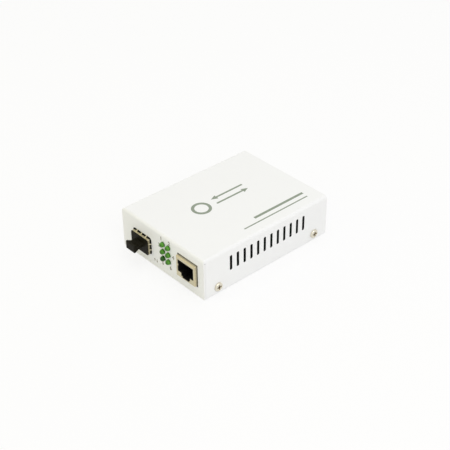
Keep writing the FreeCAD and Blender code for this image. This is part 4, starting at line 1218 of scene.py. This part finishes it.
@dataclass
class Markings:
    """Plain printed marks: a ring, two arrows and two rules on the lid, and numbers by the lamps.

    An arrow is half its shaft, half its barbs, the share before its head and its length. A rule is its
    left, right, near and far edge. A number's place counts from its lamp's middle.
    """

    film: float = 0.02 * MM
    ring_centre: tuple[float, float] = (-3.8 * MM, -14.5 * MM)
    ring_outer: float = 6.0 * MM
    ring_inner: float = 4.1 * MM
    lid_arrow: Size = (0.65 * MM, 1.9 * MM, 0.825, 24.0 * MM)
    arrow_start: float = -4.6 * MM
    to_front: float = -7.0 * MM
    to_rear: float = -1.8 * MM
    port_arrow: Size = (0.22 * MM, 0.75 * MM, 0.55, 2.4 * MM)
    port_shift: tuple[float, float] = (3.4 * MM, -1.9 * MM)
    port_spread: float = 1.0 * MM
    figure_height: float = 2.5 * MM
    figure_scale: float = 1.35
    figure_weight: float = 0.13 * MM
    rules: Sequence[Size] = (
        (22.6 * MM, 24.4 * MM, 1.0 * MM, 39.0 * MM),
        (27.3 * MM, 28.2 * MM, -10.5 * MM, 38.5 * MM),
    )
    figures: Sequence[tuple[str, float, float]] = (
        ("lamp_high_left", -1.6 * MM, 3.0 * MM),
        ("lamp_high_right", 0.6 * MM, 3.0 * MM),
        ("lamp_middle_left", -3.6 * MM, 2.4 * MM),
        ("lamp_middle_right", 3.8 * MM, 0.0),
        ("lamp_low_left", -0.9 * MM, -3.9 * MM),
        ("lamp_low_right", 1.2 * MM, -3.9 * MM),
    )

    def _lid_marks(self) -> None:
        """Builds the ring, the arrows and the rules on the lid."""
        top, inner, outer = CAD_BOX[1].z, self.ring_inner, self.ring_outer
        profile = [(inner, 0.0), (outer, 0.0), (outer, self.film), (inner, self.film)]
        ring = skinned("ring", turned(profile, sides=72), (*self.ring_centre, top), looped=True)
        shapes = [
            arrow(self.lid_arrow, self.to_front, self.arrow_start + self.lid_arrow[-1], -1),
            arrow(self.lid_arrow, self.to_rear, self.arrow_start, 1),
        ]
        arrows = plate("arrows", shapes, (0, 0, top), Facing.UP, self.film)
        seat(joined("lid_mark", [ring, arrows]), INK_GREEN)
        rules = [[(a, near), (b, near), (b, far), (a, far)] for a, b, near, far in self.rules]
        seat(plate("lid_rules", rules, (0, 0, top), Facing.UP, self.film), INK_GREEN)

    def _figure(self, text: str, across: float, up: float) -> Piece:
        """One number that lies on the front.

        Args:
            text: The number.
            across: The place of its middle.
            up: The height of its middle.

        Returns:
            The number as a mesh.
        """
        curve = bpy.data.curves.new("figure", "FONT")
        curve.body = text
        curve.size = self.figure_height * self.figure_scale
        curve.align_x = "CENTER"
        curve.align_y = "CENTER"
        curve.extrude = self.film / 2
        curve.offset = self.figure_weight
        curve.resolution_u = 3
        holder = new_object("figure", curve)
        mesh = evaluated(holder)
        bpy.data.objects.remove(holder)
        at = Vector((across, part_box("top_cover")[0].y - self.film / 2, up))
        mesh.transform(Matrix.Translation(at) @ Facing.FRONT.value)
        return cleaned(new_object("figure", mesh), flat=True)

    def build(self) -> None:
        """Builds the marks on the lid and on the front."""
        self._lid_marks()
        figures = []
        for number, (lamp, across, up) in enumerate(self.figures, start=1):
            at = middle(lamp)
            figures.append(self._figure(str(number), at.x + across, at.z + up))
        seat(joined("lamp_numbers", figures), INK_BROWN)
        low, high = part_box("sfp_spring_collar")
        across, up = self.port_shift
        at = (high.x + across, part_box("top_cover")[0].y, low.z + up)
        size, spread = self.port_arrow, self.port_spread
        shapes = [arrow(size, -sign * spread, -sign * size[-1] / 2, sign) for sign in (1, -1)]
        seat(plate("port_arrows", shapes, at, Facing.FRONT, self.film), INK_BROWN)


# Studio


@dataclass(frozen=True)
class Viewpoint:
    """The camera's place and turn."""

    azimuth: float = 0.85009
    elevation: float = 0.60539
    roll: float = -0.0140
    place: Point = (0.37121, -0.32633, 0.35178)
    lens: float = 82.84
    sensor: float = 36.0
    near: float = 0.01
    far: float = 20.0

    def build(self) -> None:
        """Makes the scene's camera."""
        data = bpy.data.cameras.new("camera")
        data.lens = self.lens
        data.sensor_width = self.sensor
        data.clip_start, data.clip_end = self.near, self.far
        camera = new_object("camera", data)
        camera.matrix_world = (
            Matrix.Translation(self.place)
            @ Matrix.Rotation(self.azimuth, 4, "Z")
            @ Matrix.Rotation(math.pi / 2 - self.elevation, 4, "X")
            @ Matrix.Rotation(self.roll, 4, "Z")
        )
        bpy.context.scene.camera = camera


@dataclass(frozen=True)
class SoftLamp:
    """One large soft lamp that looks at the object."""

    name: str
    place: Point
    size: float
    power: float
    colour: Point = (1, 1, 1)

    def build(self) -> None:
        """Makes the lamp."""
        data = bpy.data.lights.new(self.name, "AREA")
        data.shape = "DISK"
        data.size = self.size
        data.energy = self.power
        data.color = self.colour
        lamp = new_object(self.name, data)
        lamp.location = self.place
        lamp.rotation_mode = "QUATERNION"
        lamp.rotation_quaternion = Vector(self.place).to_track_quat("Z", "Y")


@dataclass
class Studio:
    """A pale floor, a pale surround and soft lamps."""

    floor_half: float = 4.0
    floor_drop: float = 0.05 * MM
    floor_glow: float = 0.8
    paper: Colour = (0.9, 0.9, 0.895, 1.0)
    white: Colour = (1.0, 1.0, 1.0, 1.0)
    sky: float = 0.66
    sky_colour: Colour = (1.0, 0.99, 0.965, 1.0)
    lamps: Sequence[SoftLamp] = (
        SoftLamp("key", (0.95, -0.1, 0.9), 0.9, 4.6, (1.0, 0.99, 0.98)),
        SoftLamp("overhead", (-0.1, 0.1, 1.2), 1.0, 2.85),
        SoftLamp("front_fill", (-0.85, -1.0, 0.5), 0.8, 1.6, (1.0, 0.93, 0.0)),
    )

    @staticmethod
    def _any_ray(graph: NodeGraph) -> Wire:
        """1 for a ray from the camera, a reflection or a refraction.

        Args:
            graph: The world's nodes.

        Returns:
            The wire that is 1 for such a ray.
        """
        rays = graph.add("ShaderNodeLightPath").outputs
        seen, *others = (Wire(graph, rays[f"Is {kind} Ray"]) for kind in ("Camera", "Glossy", "Transmission"))
        for other in others:
            seen = graph.node("ShaderNodeMath", {0: seen, 1: other}, operation="MAXIMUM")
        return seen

    def _surround(self) -> None:
        """Lights the scene evenly, and shows white where the camera or a reflection sees past the floor."""
        world = bpy.data.worlds.new("surround")
        bpy.context.scene.world = world
        world.use_nodes = True
        graph = NodeGraph(world.node_tree)
        light = graph.node("ShaderNodeBackground", {"Color": self.sky_colour, "Strength": self.sky})
        white = graph.node("ShaderNodeBackground", {"Color": self.white})
        mixed = graph.node("ShaderNodeMixShader", {0: self._any_ray(graph), 1: light, 2: white})
        graph.add("ShaderNodeOutputWorld", {"Surface": mixed})

    def _floor(self) -> None:
        """A wide floor that glows a little for the camera and keeps the object's shadow."""
        half, drop = self.floor_half, -self.floor_drop
        mesh = bpy.data.meshes.new("floor")
        corners = [(-half, -half, drop), (half, -half, drop), (half, half, drop), (-half, half, drop)]
        mesh.from_pydata(corners, [], [(0, 1, 2, 3)])
        floor = new_object("floor", mesh)
        graph = ShaderGraph("floor_paper")
        graph.feed(base_color=self.paper, roughness=0.9)
        glow = graph.node("ShaderNodeEmission", {"Color": self.white, "Strength": 1.0})
        seen = self._any_ray(graph) * self.floor_glow
        mixed = graph.node("ShaderNodeMixShader", {0: seen, 1: graph.lit(), 2: glow})
        graph.set(graph.output.inputs["Surface"], mixed)
        mesh.materials.append(graph.material)

    def build(self) -> None:
        """Sets up the studio and the plain view."""
        self._surround()
        self._floor()
        for lamp in self.lamps:
            lamp.build()
        bpy.context.scene.view_settings.view_transform = "Standard"


def main() -> None:
    """Builds the camera, the studio and every sub-assembly in order."""
    logging.basicConfig(level=logging.INFO, format="%(name)s %(message)s")
    scenery = (Viewpoint(), Studio())
    assemblies = (Enclosure(), Fasteners(), OpticalPort(), NetworkJack(), LampBlock(), PowerInlet(), Board())
    for part in (*scenery, *assemblies, Markings()):
        part.build()


if __name__ == "__main__":
    main()
